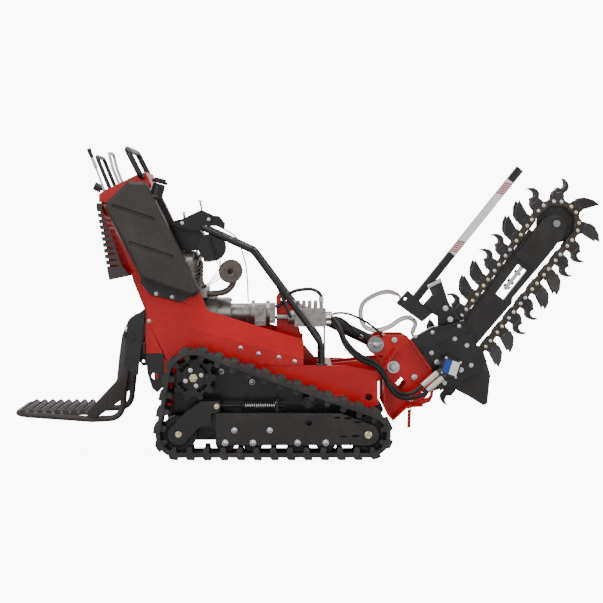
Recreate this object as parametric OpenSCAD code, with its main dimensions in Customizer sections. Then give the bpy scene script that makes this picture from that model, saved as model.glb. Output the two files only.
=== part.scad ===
// Stand-on tracked trencher: two rubber tracks, a red chassis with an engine
// and pump, a folding operator platform, and a digging boom on a lift cylinder.
// Millimetres. +X is the digging end, +Z is up, and Y = 0 is the middle plane.

/* [Tracks] */
// Width of one rubber track
track_w = 180; // [160:5:200]
// Distance between the middles of the two tracks
track_gauge = 696; // [660:4:760]
// Thickness of the belt between its treads and its inner face
belt_t = 18; // [14:1:22]
// Height of the outer tread bars
tread_h = 12; // [8:1:16]
// Number of tread bars round one belt
tread_n = 34; // [30:1:38]
// Height of the drive lugs inside the belt
lug_h = 24; // [16:1:28]
// Tip radius of the drive sprocket
sprocket_r = 100; // [92:1:106]
// Teeth of the drive sprocket
sprocket_teeth = 10; // [8:1:12]
// Radius of the front and rear idler wheels
idler_r = 78; // [70:1:86]
// Distance between the rear and front idler axles
wheelbase = 822; // [760:2:900]
// Height of the sprocket's axle above the ground
sprocket_z = 354; // [340:1:370]
// Radius of the track rollers
roller_r = 44; // [38:1:46]

/* [Chassis] */
// Outer distance between the two frame rails
rail_w = 426; // [410:2:430]
// Thickness of the frame plates
rail_t = 8; // [6:1:10]
// Outer distance between the two side tanks
tank_w = 600; // [560:4:640]
// Thickness of one side tank
tank_t = 96; // [80:2:100]

/* [Boom] */
// Pitch of the digging chain
chain_pitch = 42; // [40:0.5:44]
// Number of chain pitches, an even number
chain_n = 52; // [48:2:56]
// Teeth of the chain's drive sprocket
chain_teeth = 12; // [12:12:24]
// Pitch radius of the nose roller
nose_r = 100; // [90:1:104]
// Angle of the raised boom above level
boom_angle = 52.6; // [50:0.2:55]
// Outside width across the chain's plates
chain_w = 60; // [54:1:66]
// Radius of the main pivot pin
pivot_r = 20; // [16:1:24]
// Distance from the lift cylinder's rod pin to its barrel pin, closed
lift_len = 460; // [440:2:480]
// Outer radius of the lift cylinder's barrel
barrel_r = 27; // [24:1:30]
// Radius of the lift cylinder's rod
lift_rod_r = 15; // [12:1:18]

/* [Operator] */
// Width of the operator's platform
deck_w = 460; // [400:5:480]
// Depth of the operator's platform
deck_d = 350; // [300:5:380]
// Diameter of the platform's frame tube
deck_tube_d = 28; // [24:1:34]
// Width of the front handlebar
handlebar_w = 540; // [480:5:560]
// Diameter of the handlebar's tube
handlebar_d = 26; // [22:1:30]

/* [Hidden] */
$fn = 48;
// Running clearance of a pin in its bore, on the radius
run_fit = 0.05;
// Gap left between neighbouring pieces
seat_gap = 0.3;

// The origin is under the middle of the overall length: this is its place
// in the layout frame that the lengths below are given in.
mid_x = 85.1;

// Tracks
track_y = track_gauge / 2;
wheel_gap = 1;
belt_in = track_y - track_w / 2;
belt_out = track_y + track_w / 2;
lug_row_w = 40;
wheel_w = track_w - 2 * lug_row_w - 6;
ground_stack = tread_h + belt_t + wheel_gap;
front_idler = [338, ground_stack + idler_r];
rear_idler = [front_idler[0] - wheelbase, ground_stack + idler_r];
sprocket = [rear_idler[0] + 65, sprocket_z];
roller_x = [-281, -161, 32, 154];
roller_z = ground_stack + roller_r;
carrier_roller = [81, 246];
carrier_roller_r = 26;
frame_plate_y = belt_in - 8;
plate_t = 8;
outer_plate_y = belt_out - 13;
axle_r = 12;
idler_axle_r = 15;
rail_tube_z = [128, 196];
tube_wall = 6;

// Lift geometry: the main pivot, the barrel's pin and the rod's pin
pivot = [466, 375];
lift_pin = [386, 477];
lift_angle = 25.8;
rod_pin = lift_pin + lift_len * [-cos(lift_angle), sin(lift_angle)];
tongue_y = 79;
tongue_t = 14;
carrier_y = 96;
carrier_t = 8;
carrier_flange = 186;
lift_pin_r = 14;

// Boom geometry
head = [718, 378];
chain_r = chain_pitch * chain_teeth / (2 * PI);
boom_len = (chain_n * chain_pitch - PI * (chain_r + nose_r)) / 2;
link_h = 34;
link_t = 7;
roller_link_r = 11;
link_pin_r = 6;
head_plate_y = 66;
head_plate_t = 10;

// Operator platform
fold_pivot = [-701.5, 523.6];
deck_rear = -1229;
deck_z = 178;
arm_y = deck_w / 2 - 6;

// ---- helpers ----

// Moves the layout frame's children to the part's own origin
module placed() translate([-mid_x, 0, 0]) children();

// A piece modelled on the left side (+Y), shown on the right side
module on_right() mirror([0, 1, 0]) children();

// A 2D outline in X and Z, extruded from y0 to y1
module slab(y0, y1)
  translate([0, y1, 0]) rotate([90, 0, 0]) linear_extrude(height = y1 - y0) children();

// A round bar along Y
module bar_y(at, r, y0, y1)
  translate([at[0], y0, at[1]]) rotate([-90, 0, 0]) cylinder(r = r, h = y1 - y0);

// A round bar between two points
module bar(a, b, r) {
  d = b - a;
  translate(a)
    rotate([0, acos(d[2] / norm(d)), atan2(d[1], d[0])])
      cylinder(r = r, h = norm(d));
}

// A box given by its lowest and highest corners
module box(lo, hi) translate(lo) cube(hi - lo);

function unit(v) = v / norm(v);
function ring_at(p, t, ref, r, n) =
  let (a = unit(cross(t, ref)), b = cross(a, t))
  [for (k = [0:n - 1]) p + r * (cos(360 * k / n) * a + sin(360 * k / n) * b)];
function tangent(p, i) =
  unit(p[min(i + 1, len(p) - 1)] - p[max(i - 1, 0)]);

// A solid tube of n sides swept along points, its rings set by a reference direction
module sweep(points, r, n = 10, ref = [0, 1, 0]) {
  rings = [for (i = [0:len(points) - 1]) ring_at(points[i], tangent(points, i), ref, r, n)];
  last = len(points) - 1;
  polyhedron(
    points = [for (ring = rings) each ring],
    faces = concat(
      [[for (k = [n - 1:-1:0]) k]],
      [[for (k = [0:n - 1]) last * n + k]],
      [for (i = [0:last - 1], k = [0:n - 1])
        [i * n + k, i * n + (k + 1) % n, (i + 1) * n + (k + 1) % n, (i + 1) * n + k]]
    )
  );
}

// Points with each inner corner rounded at radius r by an arc of steps chords
function corner(a, b, c, r, steps) =
  let (
    u = unit(a - b), v = unit(c - b),
    half = acos(max(-1, min(1, u * v))) / 2,
    cut = min(r / tan(half), norm(a - b) * 0.49, norm(c - b) * 0.49),
    rr = cut * tan(half),
    centre = b + unit(u + v) * rr / sin(half),
    p = b + u * cut - centre, q = b + v * cut - centre,
    sweep_a = 180 - 2 * half
  )
  [for (i = [0:steps]) let (t = i / steps)
    centre + (p * sin((1 - t) * sweep_a) + q * sin(t * sweep_a)) / sin(sweep_a)];
function rounded(p, r, steps = 5) = concat(
  [p[0]],
  [for (i = [1:len(p) - 2]) each corner(p[i - 1], p[i], p[i + 1], r, steps)],
  [p[len(p) - 1]]
);

// A smooth curve through points
function spline_point(a, b, c, d, t) =
  0.5 * ((2 * b) + (c - a) * t + (2 * a - 5 * b + 4 * c - d) * t * t
    + (3 * b - a - 3 * c + d) * t * t * t);
function smooth(p, steps = 4) = let (n = len(p) - 1) concat(
  [for (i = [0:n - 1], k = [0:steps - 1])
    spline_point(p[max(i - 1, 0)], p[i], p[i + 1], p[min(i + 2, n)], k / steps)],
  [p[n]]
);

// ---- belts and chains: a loop round circles, walked anticlockwise ----

// Each circle is [x, z, r]. Outward normal of the straight run from a to b
function run_normal(a, b) =
  let (d = [b[0] - a[0], b[1] - a[1]])
  atan2(d[1], d[0]) - acos((a[2] - b[2]) / norm(d));
function run_length(a, b) =
  let (d = norm([b[0] - a[0], b[1] - a[1]])) sqrt(d * d - pow(a[2] - b[2], 2));
function turn(n0, n1) = n1 - n0 - 360 * floor((n1 - n0) / 360);
function legs(c) = let (n = len(c)) [for (i = [0:n - 1])
  let (
    a = c[i], b = c[(i + 1) % n], d = c[(i + 2) % n],
    n0 = run_normal(a, b), n1 = run_normal(b, d)
  )
  [a, b, n0, run_length(a, b), turn(n0, n1)]];
function leg_total(l) = l[3] + l[1][2] * l[4] * PI / 180;
function sum(v, i = 0) = i >= len(v) ? 0 : v[i] + sum(v, i + 1);
function loop_length(c) = sum([for (l = legs(c)) leg_total(l)]);

// Point on the loop at distance s, moved outwards by off, as [x, z, normal angle]
function on_leg(l, s, off) =
  s <= l[3]
    ? let (n = l[2], t = s / l[3],
        p = [l[0][0], l[0][1]] + l[0][2] * [cos(n), sin(n)],
        q = [l[1][0], l[1][1]] + l[1][2] * [cos(n), sin(n)],
        m = p + (q - p) * t + off * [cos(n), sin(n)])
      [m[0], m[1], n]
    : let (n = l[2] + (s - l[3]) / l[1][2] * 180 / PI)
      [l[1][0] + (l[1][2] + off) * cos(n), l[1][1] + (l[1][2] + off) * sin(n), n];
function walk(l, s, off, i = 0) =
  i == len(l) - 1 || s <= leg_total(l[i])
    ? on_leg(l[i], s, off)
    : walk(l, s - leg_total(l[i]), off, i + 1);
function on_loop(c, s, off = 0) =
  let (total = loop_length(c)) walk(legs(c), s - total * floor(s / total), off);
function flat(p) = [p[0], p[1]];

// ---- tracks (modelled on the left) ----

belt_loop = [
  [sprocket[0], sprocket[1], sprocket_r + 2 + belt_t / 2],
  [rear_idler[0], rear_idler[1], idler_r + wheel_gap + belt_t / 2],
  [front_idler[0], front_idler[1], idler_r + wheel_gap + belt_t / 2]
];
belt_len = loop_length(belt_loop);
tread_pitch = belt_len / tread_n;

// One pitch of the tread and of the drive lugs: [share of the pitch, height]
tread_shape = [[0, 0], [0.08, 1], [0.3, 1], [0.52, 1], [0.6, 0], [0.8, 0]];
lug_shape = [[0.06, 0], [0.14, 1], [0.3, 1], [0.46, 1], [0.54, 0], [0.77, 0]];
function belt_line(shape, off, h) =
  [for (k = [0:tread_n - 1], f = shape)
    flat(on_loop(belt_loop, (k + f[0]) * tread_pitch, off + f[1] * h))];

module belt_band(y0, y1, lugs)
  slab(y0, y1) difference() {
    polygon(belt_line(tread_shape, belt_t / 2, tread_h));
    polygon(belt_line(lug_shape, -belt_t / 2, lugs ? -lug_h : 0));
  }

module track_belt() {
  color("dimgray") union() {
    belt_band(belt_in, belt_in + lug_row_w, true);
    belt_band(belt_in + lug_row_w, belt_out - lug_row_w, false);
    belt_band(belt_out - lug_row_w, belt_out, true);
  }
}

// Frame plate behind the belt, box rail, and the axles that stand out of them
module track_frame() {
  x0 = rear_idler[0];
  x1 = front_idler[0];
  rail_x = [roller_x[0] - 49, roller_x[3] + 80];
  color("black") {
    difference() {
      union() {
        slab(frame_plate_y - plate_t, frame_plate_y) difference() {
          polygon([[x0 - 40, 300], [x0 - 16, 402], [x0 + 60, 452], [x0 + 150, 442],
            [sprocket[0] + 300, 362], [x1 - 180, 274], [x1 + 30, 190],
            [x1 + 48, 108], [x1 + 20, 64], [x0 + 30, 64], [x0 - 20, 108]]);
          translate([x0 + 92, 130]) square([52, 50]);
        }
        difference() {
          box([rail_x[0], track_y - 34, rail_tube_z[0]], [rail_x[1], track_y + 34, rail_tube_z[1]]);
          box([rail_x[0] - 1, track_y - 34 + tube_wall, rail_tube_z[0] + tube_wall],
              [rail_x[1] + 1, track_y + 34 - tube_wall, rail_tube_z[1] - tube_wall]);
        }
        for (x = [roller_x[0] + 20, roller_x[3] - 40])
          box([x, frame_plate_y - 1, rail_tube_z[0]], [x + 50, track_y - 34 + 1, rail_tube_z[1]]);
        for (x = roller_x) bar_y([x, roller_z], axle_r, frame_plate_y - 1, outer_plate_y - 8);
        bar_y(carrier_roller, axle_r, frame_plate_y - 1, track_y + 44);
        bar_y(front_idler, idler_axle_r, frame_plate_y - 1, outer_plate_y - 8);
        // bracket that the tension spring pushes on
        box([-60, track_y + 8, rail_tube_z[1] - 1], [-52, track_y + 44, 262]);
      }
      bar_y(sprocket, 64, frame_plate_y - plate_t - 1, frame_plate_y + 1);
      translate([-61, track_y + 26, 231]) rotate([0, 90, 0]) cylinder(r = 9, h = 10);
    }
  }
}

// Outer side plate, bolted over the roller axles
module track_plate() {
  x1 = front_idler[0];
  color("#3c3836") difference() {
    slab(outer_plate_y - 8, outer_plate_y) union() {
      polygon([[-321, 64], [-321, 203], [218, 203], [x1 + 15, front_idler[1] + 43],
        [x1 + 30, front_idler[1] - 35], [x1 - 6, 64]]);
      translate(front_idler) circle(r = 46);
    }
    bar_y([81, 163], 14, outer_plate_y - 9, outer_plate_y + 1);
    for (p = [[190, 180], [236, 178], [278, 160], [216, 98], [268, 100]])
      box([p[0], outer_plate_y - 9, p[1]], [p[0] + 28, outer_plate_y + 1, p[1] + 7]);
  }
}

// Toothed wheel outline: n teeth between a root and a tip radius
function toothed(n, root, tip) = [for (k = [0:n - 1], f = [[-0.3, root], [-0.13, tip], [0.13, tip], [0.3, root]])
  (f[1]) * [cos((k + f[0]) * 360 / n), sin((k + f[0]) * 360 / n)]];

module drive_sprocket() {
  y0 = track_y - wheel_w / 2;
  y1 = track_y + wheel_w / 2;
  color("#222222") translate([sprocket[0], 0, sprocket[1]]) difference() {
    union() {
      slab(y1 - 22, y1) polygon(toothed(sprocket_teeth, sprocket_r * 0.8, sprocket_r));
      slab(y0, y0 + 22) polygon(toothed(sprocket_teeth, sprocket_r * 0.8, sprocket_r));
      slab(y0 + 21, y1 - 21) circle(r = sprocket_r * 0.72);
      slab(y1 - 1, y1 + 8) circle(r = 46);
    }
    slab(y0 - 1, y1 - 30) circle(r = 58);
    for (a = [50:90:359], b = [-16, 0, 16])
      rotate([0, a + b, 0]) translate([62, 0, 0]) slab(y1 - 31, y1 + 1) circle(r = 9);
  }
}

module drive_motor() {
  y0 = track_y - wheel_w / 2;
  y1 = track_y + wheel_w / 2;
  face = y1 - 30 - seat_gap;
  color("#2b2b2b") translate([sprocket[0], 0, sprocket[1]]) {
    slab(frame_plate_y + 4, face) circle(r = 52);
    slab(rail_w / 2 + panel_t + 1, frame_plate_y + 4) circle(r = 60);
    slab(rail_w / 2 - 14, rail_w / 2 + panel_t + 2) circle(r = 39);
  }
}

// Rear idler carriage: a bar inside the box rail, a yoke and the spring's rod
module idler_arm() {
  eye = [-318, 231];
  x0 = rear_idler[0];
  bar_half = 34 - tube_wall - 1;
  color("#262424") {
    for (y = [track_y - wheel_w / 2 - 12, track_y + wheel_w / 2 + 4])
      slab(y, y + 8) difference() {
        union() {
          translate(rear_idler) circle(r = 46);
          polygon([rear_idler + [-20, 41], rear_idler + [30, 95], [eye[0] - 66, eye[1] + 22],
            [eye[0] + 12, eye[1] + 22], [eye[0] + 14, eye[1] - 22], [eye[0] - 26, 196],
            [eye[0] - 26, 150], rear_idler + [88, 30], rear_idler + [38, -26]]);
        }
      }
    // cross block and sliding bar
    box([x0 + 96, track_y - wheel_w / 2 - 5, 200], [x0 + 122, track_y + wheel_w / 2 + 5, 240]);
    box([x0 + 104, track_y - bar_half, rail_tube_z[0] + tube_wall + 1],
        [x0 + 330, track_y + bar_half, rail_tube_z[1] - tube_wall - 1]);
    box([x0 + 104, track_y - bar_half, 180], [x0 + 122, track_y + bar_half, 205]);
    // idler axle
    bar_y(rear_idler, idler_axle_r, track_y - wheel_w / 2 - 5, track_y + wheel_w / 2 + 5);
    // eye and rod that carry the spring
    bar([x0 + 121, track_y + 26, eye[1]], [-300, track_y + 26, eye[1]], 13);
    bar([-301, track_y + 26, eye[1]], [-20, track_y + 26, eye[1]], 7);
    bar([-206, track_y + 26, eye[1]], [-198, track_y + 26, eye[1]], 17);
  }
}

module tension_spring()
  color("silver") translate([-198 + seat_gap, track_y + 26, 231]) rotate([0, 90, 0]) difference() {
    cylinder(r = 15, h = 138 - 2 * seat_gap);
    translate([0, 0, -1]) cylinder(r = 8, h = 140);
  }

// Spoked or plain wheel with a bore for its axle
module track_wheel(at, r, axle) {
  y0 = track_y - wheel_w / 2;
  y1 = track_y + wheel_w / 2;
  color("#1c1c1c") difference() {
    union() {
      bar_y(at, r, y0 + 14, y1 - 14);
      bar_y(at, r - lug_h - 2, y0, y1);
    }
    bar_y(at, axle + run_fit, y0 - 1, y1 + 1);
    bar_y(at, r - lug_h - 14, y1 - 10, y1 + 1);
    bar_y(at, r - lug_h - 14, y0 - 1, y0 + 10);
  }
  color("#1c1c1c") difference() {
    bar_y(at, axle + 10, y0 + 9, y1 - 1);
    bar_y(at, axle + run_fit, y0, y1 + 1);
    bar_y(at, axle + 11, y0 + 9.9, y1 - 10.1);
  }
}

module idler_wheel(at) {
  y0 = track_y - wheel_w / 2;
  y1 = track_y + wheel_w / 2;
  color("#1c1c1c") difference() {
    union() {
      bar_y(at, idler_r, y0 + 10, y1 - 10);
      bar_y(at, idler_r - 12, y0, y1);
    }
    bar_y(at, idler_axle_r + run_fit, y0 - 1, y1 + 1);
    for (y = [y0 - 1, y1 - 12])
      difference() {
        bar_y(at, idler_r - 22, y, y + 13);
        bar_y(at, idler_axle_r + 12, y - 1, y + 14);
      }
  }
}

module track_rollers() {
  y0 = track_y - wheel_w / 2;
  y1 = track_y + wheel_w / 2;
  color("#5a5a5c") {
    for (x = roller_x) difference() {
      union() {
        bar_y([x, roller_z], roller_r, y0, y0 + 30);
        bar_y([x, roller_z], roller_r, y1 - 30, y1);
        bar_y([x, roller_z], roller_r - 14, y0 + 29, y1 - 29);
      }
      bar_y([x, roller_z], axle_r + run_fit, y0 - 1, y1 + 1);
    }
    difference() {
      bar_y(carrier_roller, carrier_roller_r, track_y - 40, track_y + 40);
      bar_y(carrier_roller, axle_r + run_fit, track_y - 41, track_y + 41);
    }
  }
}

// ---- chassis ----

// Outline of one frame rail
rail_outline = [[-643, 444], [-643, 600], [-636, 606], [52, 417], [57, 391], [240, 391],
  [390, 364], [390, 214], [300, 190], [-500, 190], [-560, 290], [-600, 300], [-612, 444]];

module main_frame() {
  in = rail_w / 2 - rail_t;
  color("#c8101a") {
    difference() {
      union() {
        for (s = [-1, 1])
          slab(s > 0 ? in : -rail_w / 2, s > 0 ? rail_w / 2 : -in) polygon(rail_outline);
        // floor, rear bulkhead and engine deck
        box([-560, -in - 1, 216], [186, in + 1, 224]);
        box([-643, -in - 1, 444], [-635, in + 1, 604]);
        box([-560, -in - 1, 223], [-552, in + 1, 452]);
        box([-643, -in - 1, 444], [-552, in + 1, 452]);
        box([-636, -in - 1, 540], [-468, in + 1, 548]);
        box([-469, -in - 1, 480], [-260, in + 1, 488]);
        box([-476, -in - 1, 480], [-468, in + 1, 548]);
        box([-268, -in - 1, 223], [-260, in + 1, 488]);
        // front cross box that carries the tongue
        box([130, -in - 1, 223], [186, in + 1, 391]);
        for (s = [-1, 1])
          slab(s > 0 ? tongue_y : -tongue_y - tongue_t, s > 0 ? tongue_y + tongue_t : -tongue_y)
            union() {
              polygon([[185, 250], [185, 391], pivot + [-20, 45], pivot + [30, 20], pivot + [10, -44]]);
              translate(pivot) circle(r = 46);
            }
        // cylinder rod lugs on the cross box, leaning back over the floor
        for (s = [-1, 1])
          slab(s > 0 ? 24 : -34, s > 0 ? 34 : -24) union() {
            polygon([[130, 300], [130, 391], [60, 470], rod_pin + [36, 0], rod_pin + [-36, 0],
              [-62, 568], [-60, 223], [40, 223]]);
            translate(rod_pin) circle(r = 36);
          }
        // brackets that hold the track frames off the rails
        for (s = [-1, 1], x = [-330, -60, 180])
          box([x, s > 0 ? rail_w / 2 - 1 : -frame_plate_y + plate_t, 200],
              [x + 60, s > 0 ? frame_plate_y - plate_t : -rail_w / 2 + 1, 260]);
      }
      bar_y(pivot, pivot_r + run_fit, -100, 100);
      bar_y(rod_pin, 14, -50, 50);
      for (s = [-1, 1]) bar_y(sprocket, 39.3, s > 0 ? in - 1 : -rail_w / 2 - 1, s > 0 ? rail_w / 2 + 1 : -in + 1);
      // tie-down holes low in the front of each rail
      bar_y([350, 250], 16, -rail_w, rail_w);
    }
  }
}

// A bent side panel: an upright skirt below a fold, and a band that leans inwards above it
panel_t = 4;
fold_a = [-640, 612];
fold_b = [60, 420];
fold_len = norm(fold_b - fold_a);
fold_dir = (fold_b - fold_a) / fold_len;
fold_up = [-fold_dir[1], fold_dir[0]];
band_lean = 16;
skirt = [fold_b, [60, 394], [-540, 394], [-560, 446], [-642, 446], fold_a];
// The band's corners past the fold: [along it, away from it]
band = [[-30, 104], [270, 96], [fold_len - 24, 84]];
// A point of the bent sheet, t out of its inner face
function skirt_point(p, y, t) = [p[0], y + t, p[1]];
function fold_point(p, y, t) =
  let (q = p + t * tan(band_lean / 2) * fold_up) [q[0], y + t, q[1]];
function band_point(b, y, t) =
  let (q = fold_a + b[0] * fold_dir + (b[1] * cos(band_lean) + t * sin(band_lean)) * fold_up)
  [q[0], y - b[1] * sin(band_lean) + t * cos(band_lean), q[1]];
module side_panel() {
  y = rail_w / 2 + seat_gap;
  outline = function (t) concat(
    [fold_point(fold_b, y, t)],
    [for (i = [1:4]) skirt_point(skirt[i], y, t)],
    [fold_point(fold_a, y, t)],
    [for (b = band) band_point(b, y, t)]);
  n = 9;
  color("#d8121c") polyhedron(
    points = concat(outline(0), outline(panel_t)),
    faces = concat(
      [[0, 1, 2, 3, 4, 5], [0, 5, 6, 7, 8]],
      [[for (k = [5:-1:0]) n + k], [n, n + 8, n + 7, n + 6, n + 5]],
      [for (k = [0:n - 1]) [k, n + k, n + (k + 1) % n, (k + 1) % n]]
    )
  );
}

// Thick moulded side tank with two pressed grooves
tank_outline = [[-809, 1090], [-800, 1118], [-706, 1208], [-640, 1204], [-622, 1186], [-400, 730],
  [-404, 712], [-430, 702], [-652, 780]];
module groove(a, b, y) hull() for (p = [a, b]) translate([p[0], y, p[1]]) sphere(r = 9, $fn = 16);
module tank_solid() {
  y1 = tank_w / 2;
  y0 = y1 - tank_t;
  hull() {
    slab(y0, y1 - 14) offset(r = 10) offset(delta = -10) polygon(tank_outline);
    slab(y0 + 14, y1) offset(r = 8) offset(delta = -22) polygon(tank_outline);
  }
}
module tank_right() {
  y1 = tank_w / 2;
  color("#4a4442") on_right() difference() {
    tank_solid();
    groove([-772, 1098], [-598, 1040], y1 + 1);
    groove([-698, 936], [-518, 876], y1 + 1);
  }
  color("#2a2625") on_right() bar([-592, y1 - 46, 1130], [-574, y1 - 46, 1196], 24);
}
module tank_left() {
  y1 = tank_w / 2;
  color("#4a4442") difference() {
    tank_solid();
    groove([-772, 1098], [-598, 1040], y1 + 1);
    groove([-698, 936], [-518, 876], y1 + 1);
  }
}

module filler_cap() {
  color("#1d1b1b") on_right()
    translate([-573.5, tank_w / 2 - 46, 1197.5]) rotate([0, 15.3, 0]) {
      cylinder(r = 32, h = 14, $fn = 48);
      translate([0, 0, 13]) cylinder(r = 26, h = 10);
      for (a = [0:45:359]) rotate([0, 0, a]) translate([32, -3, 0]) cube([3, 6, 14]);
    }
}

// Louvred sheet guard in front of the operator's legs
guard_top = [-852, 1100];
guard_bottom = [-797, 772];
guard_w = 520;
module operator_guard() {
  lean_x = (guard_bottom[0] - guard_top[0]) / (guard_top[1] - guard_bottom[1]);
  color("#6a635e") difference() {
    slab(-guard_w / 2, guard_w / 2) polygon([guard_top, guard_bottom, [-706, 792],
      [-742, 840], [-826, 1088], [-826, 1112], guard_top + [4, 12]]);
    slab(-guard_w / 2 + 3, guard_w / 2 - 3) polygon([guard_top + [3, -12], guard_bottom + [3, 3],
      [-690, 796], [-690, 1200], [-800, 1200], guard_top + [7, 0]]);
    for (i = [0:9]) {
      z = 1066 - i * 26;
      x = guard_top[0] + (guard_top[1] - z) * lean_x;
      box([x - 20, -guard_w / 2 - 1, z], [x + 24 + i * 3, guard_w / 2 + 1, z + 8]);
    }
  }
}

// Red control console between the tanks
module console_shell(y0, y1, inset) slab(y0, y1) offset(delta = -inset)
  polygon([[-846, 1116], [-846, 1150], [-824, 1166], [-672, 1240], [-640, 1250], [-612, 1190], [-640, 1116]]);
console_w = tank_w / 2 - tank_t - seat_gap;
travel_pivot = [-760, 1142];
throttle_pivot = [-815, 1142];
module control_console() {
  color("#b81018") {
    difference() {
      console_shell(-console_w, console_w, 0);
      console_shell(-console_w + 4, console_w - 4, 4);
      // slots for the control levers
      box([-794, -112, 1150], [-728, 112, 1260]);
      box([-845, -188, 1152], [-796, -156, 1260]);
    }
    // pins that the levers turn on
    bar_y(travel_pivot, 6, -console_w + 3, console_w - 3);
    bar_y(throttle_pivot, 5, -console_w + 3, -150);
  }
}

handle_r = handlebar_d / 2;
module handlebar() {
  w = handlebar_w / 2 - handle_r;
  foot = [-656, 1230];
  top = [-716, 1349];
  color("#161616") {
    sweep(rounded([[foot[0], -console_w - seat_gap, foot[1]], [foot[0], -w, foot[1]],
      [top[0], -w, top[1]], [top[0], w, top[1]], [foot[0], w, foot[1]],
      [foot[0], console_w + seat_gap, foot[1]]], 30), handle_r, 12, [0.9, 0, 0.45]);
    grip_bar();
  }
}

// Fixed reference bar behind the travel levers
module grip_bar() {
  w = 135;
  sweep(rounded([[-804, -w, 1177], [-862, -w, 1320], [-862, w, 1320], [-804, w, 1177]], 26),
    9, 10, [0.94, 0, 0.33]);
}

// ---- engine and hydraulics ----

module engine_block() {
  color("#9a9a98") {
    box([-560, -150, 548.3], [-400, 150, 700]);
    box([-560, -150, 690], [-372, 150, 730]);
    bar([-400.1, 0, 612], [-330, 0, 612], 84);
    for (s = [-1, 1]) {
      bar([-466, s * 60, 690], [-466, s * 132, 842], 52);
      for (k = [0:7])
        bar([-466, s * (64 + k * 8), 714 + k * 17], [-466, s * (66.2 + k * 8), 718.6 + k * 17], 66);
      bar([-466, s * 131, 840], [-466, s * 143, 866], 58);
    }
  }
}

// Blower housing and fan guard at the flywheel end, over the cylinders
module engine_cover() {
  color("#1a1a1a") {
    box([-596, -140, 600], [-560.3, 140, 1010]);
    slab(-110, 110) polygon([[-561, 900], [-561, 1018], [-500, 1040], [-420, 1010], [-380, 960], [-380, 900]]);
    bar_y([-348, 915], 62, -170, -112);
    bar_y([-348, 915], 52, -113, -20);
    box([-396, -110, 884], [-348, -40, 904]);
  }
}

module air_cleaner() {
  color("#2a2726") {
    slab(-172, -110.3) polygon([[-531, 1019], [-396, 1082], [-346, 1060], [-360, 990], [-440, 990], [-500, 1004]]);
    slab(-164, -116) polygon([[-356, 1058], [-318, 1056], [-290, 1022], [-294, 994], [-328, 1010], [-362, 1010]]);
    bar([-472, -140, 1040], [-474, -140, 1064], 5);
    bar([-392, -140, 1070], [-402, -140, 1118], 4);
  }
}

module muffler() {
  c = [-266, 808];
  color("#4b423f") {
    difference() {
      bar_y(c, 48, -190, -60);
      bar_y(c, 12, -191, -160);
    }
    sweep(smooth([[-250, -120, 772], [-262, -120, 742], [-292, -118, 716], [-340, -114, 707], [-371.2, -114, 707]], 4),
      14, 10);
  }
}

// Tandem pump behind a bell housing, in line with the crankshaft
module hydraulic_pump() {
  z = 612;
  color("#a8a4a0") {
    bar([-329.7, 0, z], [-270, 0, z], 74);
    bar([-270.1, 0, z], [-176, 0, z], 46);
    bar([-176.1, 0, z], [-160, 0, z], 60);
    box([-160.1, -78, z - 52], [-110, 78, z + 44]);
    bar([-110.1, 0, z], [-92, 0, z], 58);
    box([-92.1, -70, z - 42], [-67, 70, z + 46]);
  }
}

// Spool valve block with its caps and ports
module control_valve() {
  color("#8d8a86") {
    box([20, -150, 560], [160, -60, 640]);
    for (x = [36, 62, 88, 114, 140]) bar([x, -105, 639.9], [x, -105, 668], 9);
    bar([-10, -105, 600], [20.1, -105, 600], 30);
    bar([159.9, -105, 600], [190, -105, 600], 26);
    box([150, -120, 391.3], [158, -80, 560.1]);
  }
}

// Two bent bars that guard the engine bay
guard_y = 189;
module engine_guard() {
  color("#131313") {
    for (y = [-guard_y, guard_y])
      sweep(rounded([[-392, y, 1004], [-165, y, 900], [72, y, 580], [140, y, 480], [140, y, 391.3]], 60), 13, 12);
    bar([140, -guard_y, 430], [140, guard_y, 430], 9);
    bar([-165, -guard_y, 896], [-165, guard_y, 896], 9);
    bar([-58, -guard_y, 755], [2, -guard_y, 606], 8);
    bar([2, -guard_y, 606], [2, -135.2, 602], 6);
  }
}

// ---- hoses ----

module chassis_hoses() {
  color("#1b1a1a") {
    sweep(smooth([[-66, -54, 644], [-48, -54, 650], [-10, -66, 700], [60, -80, 724], [122, -104, 716], [140, -105, 692], [140, -105, 669]], 4), 8, 8);
    sweep(smooth([[-66, -52, 596], [-52, -56, 596], [-30, -100, 600], [-20, -105, 600], [-10.4, -105, 600]], 4), 7, 8);
  }
}

// Two pressure hoses from the valve to the digging motor
module head_hoses() {
  color("#1b1a1a") {
    sweep(smooth([[190.9, -105, 600], [206, -105, 600], [250, -100, 580], [306, -84, 520], [323.2, -58, 507.2], [323.2, -39.9, 507.2]], 4), 5, 8);
    for (k = [0, 1])
      sweep(smooth([
        [160.6, -143, 576 + k * 24], [172, -143, 576 + k * 24], [184, -143, 576 + k * 24], [214, -178, 550 + k * 22],
        [250, -229, 474 + k * 22], [310, -229, 420 + k * 18],
        [376, -229, 388 + k * 18], [412, -214, 350 + k * 18], [440, -198, 296 + k * 16],
        [486, -198, 250 + k * 20], [536, -198, 244 + k * 20],
        fitting_end(k) + 48 * fitting_dir(k), fitting_end(k) + 24 * fitting_dir(k), fitting_end(k) + 0.5 * fitting_dir(k)], 4), 9, 8);
  }
}

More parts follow.
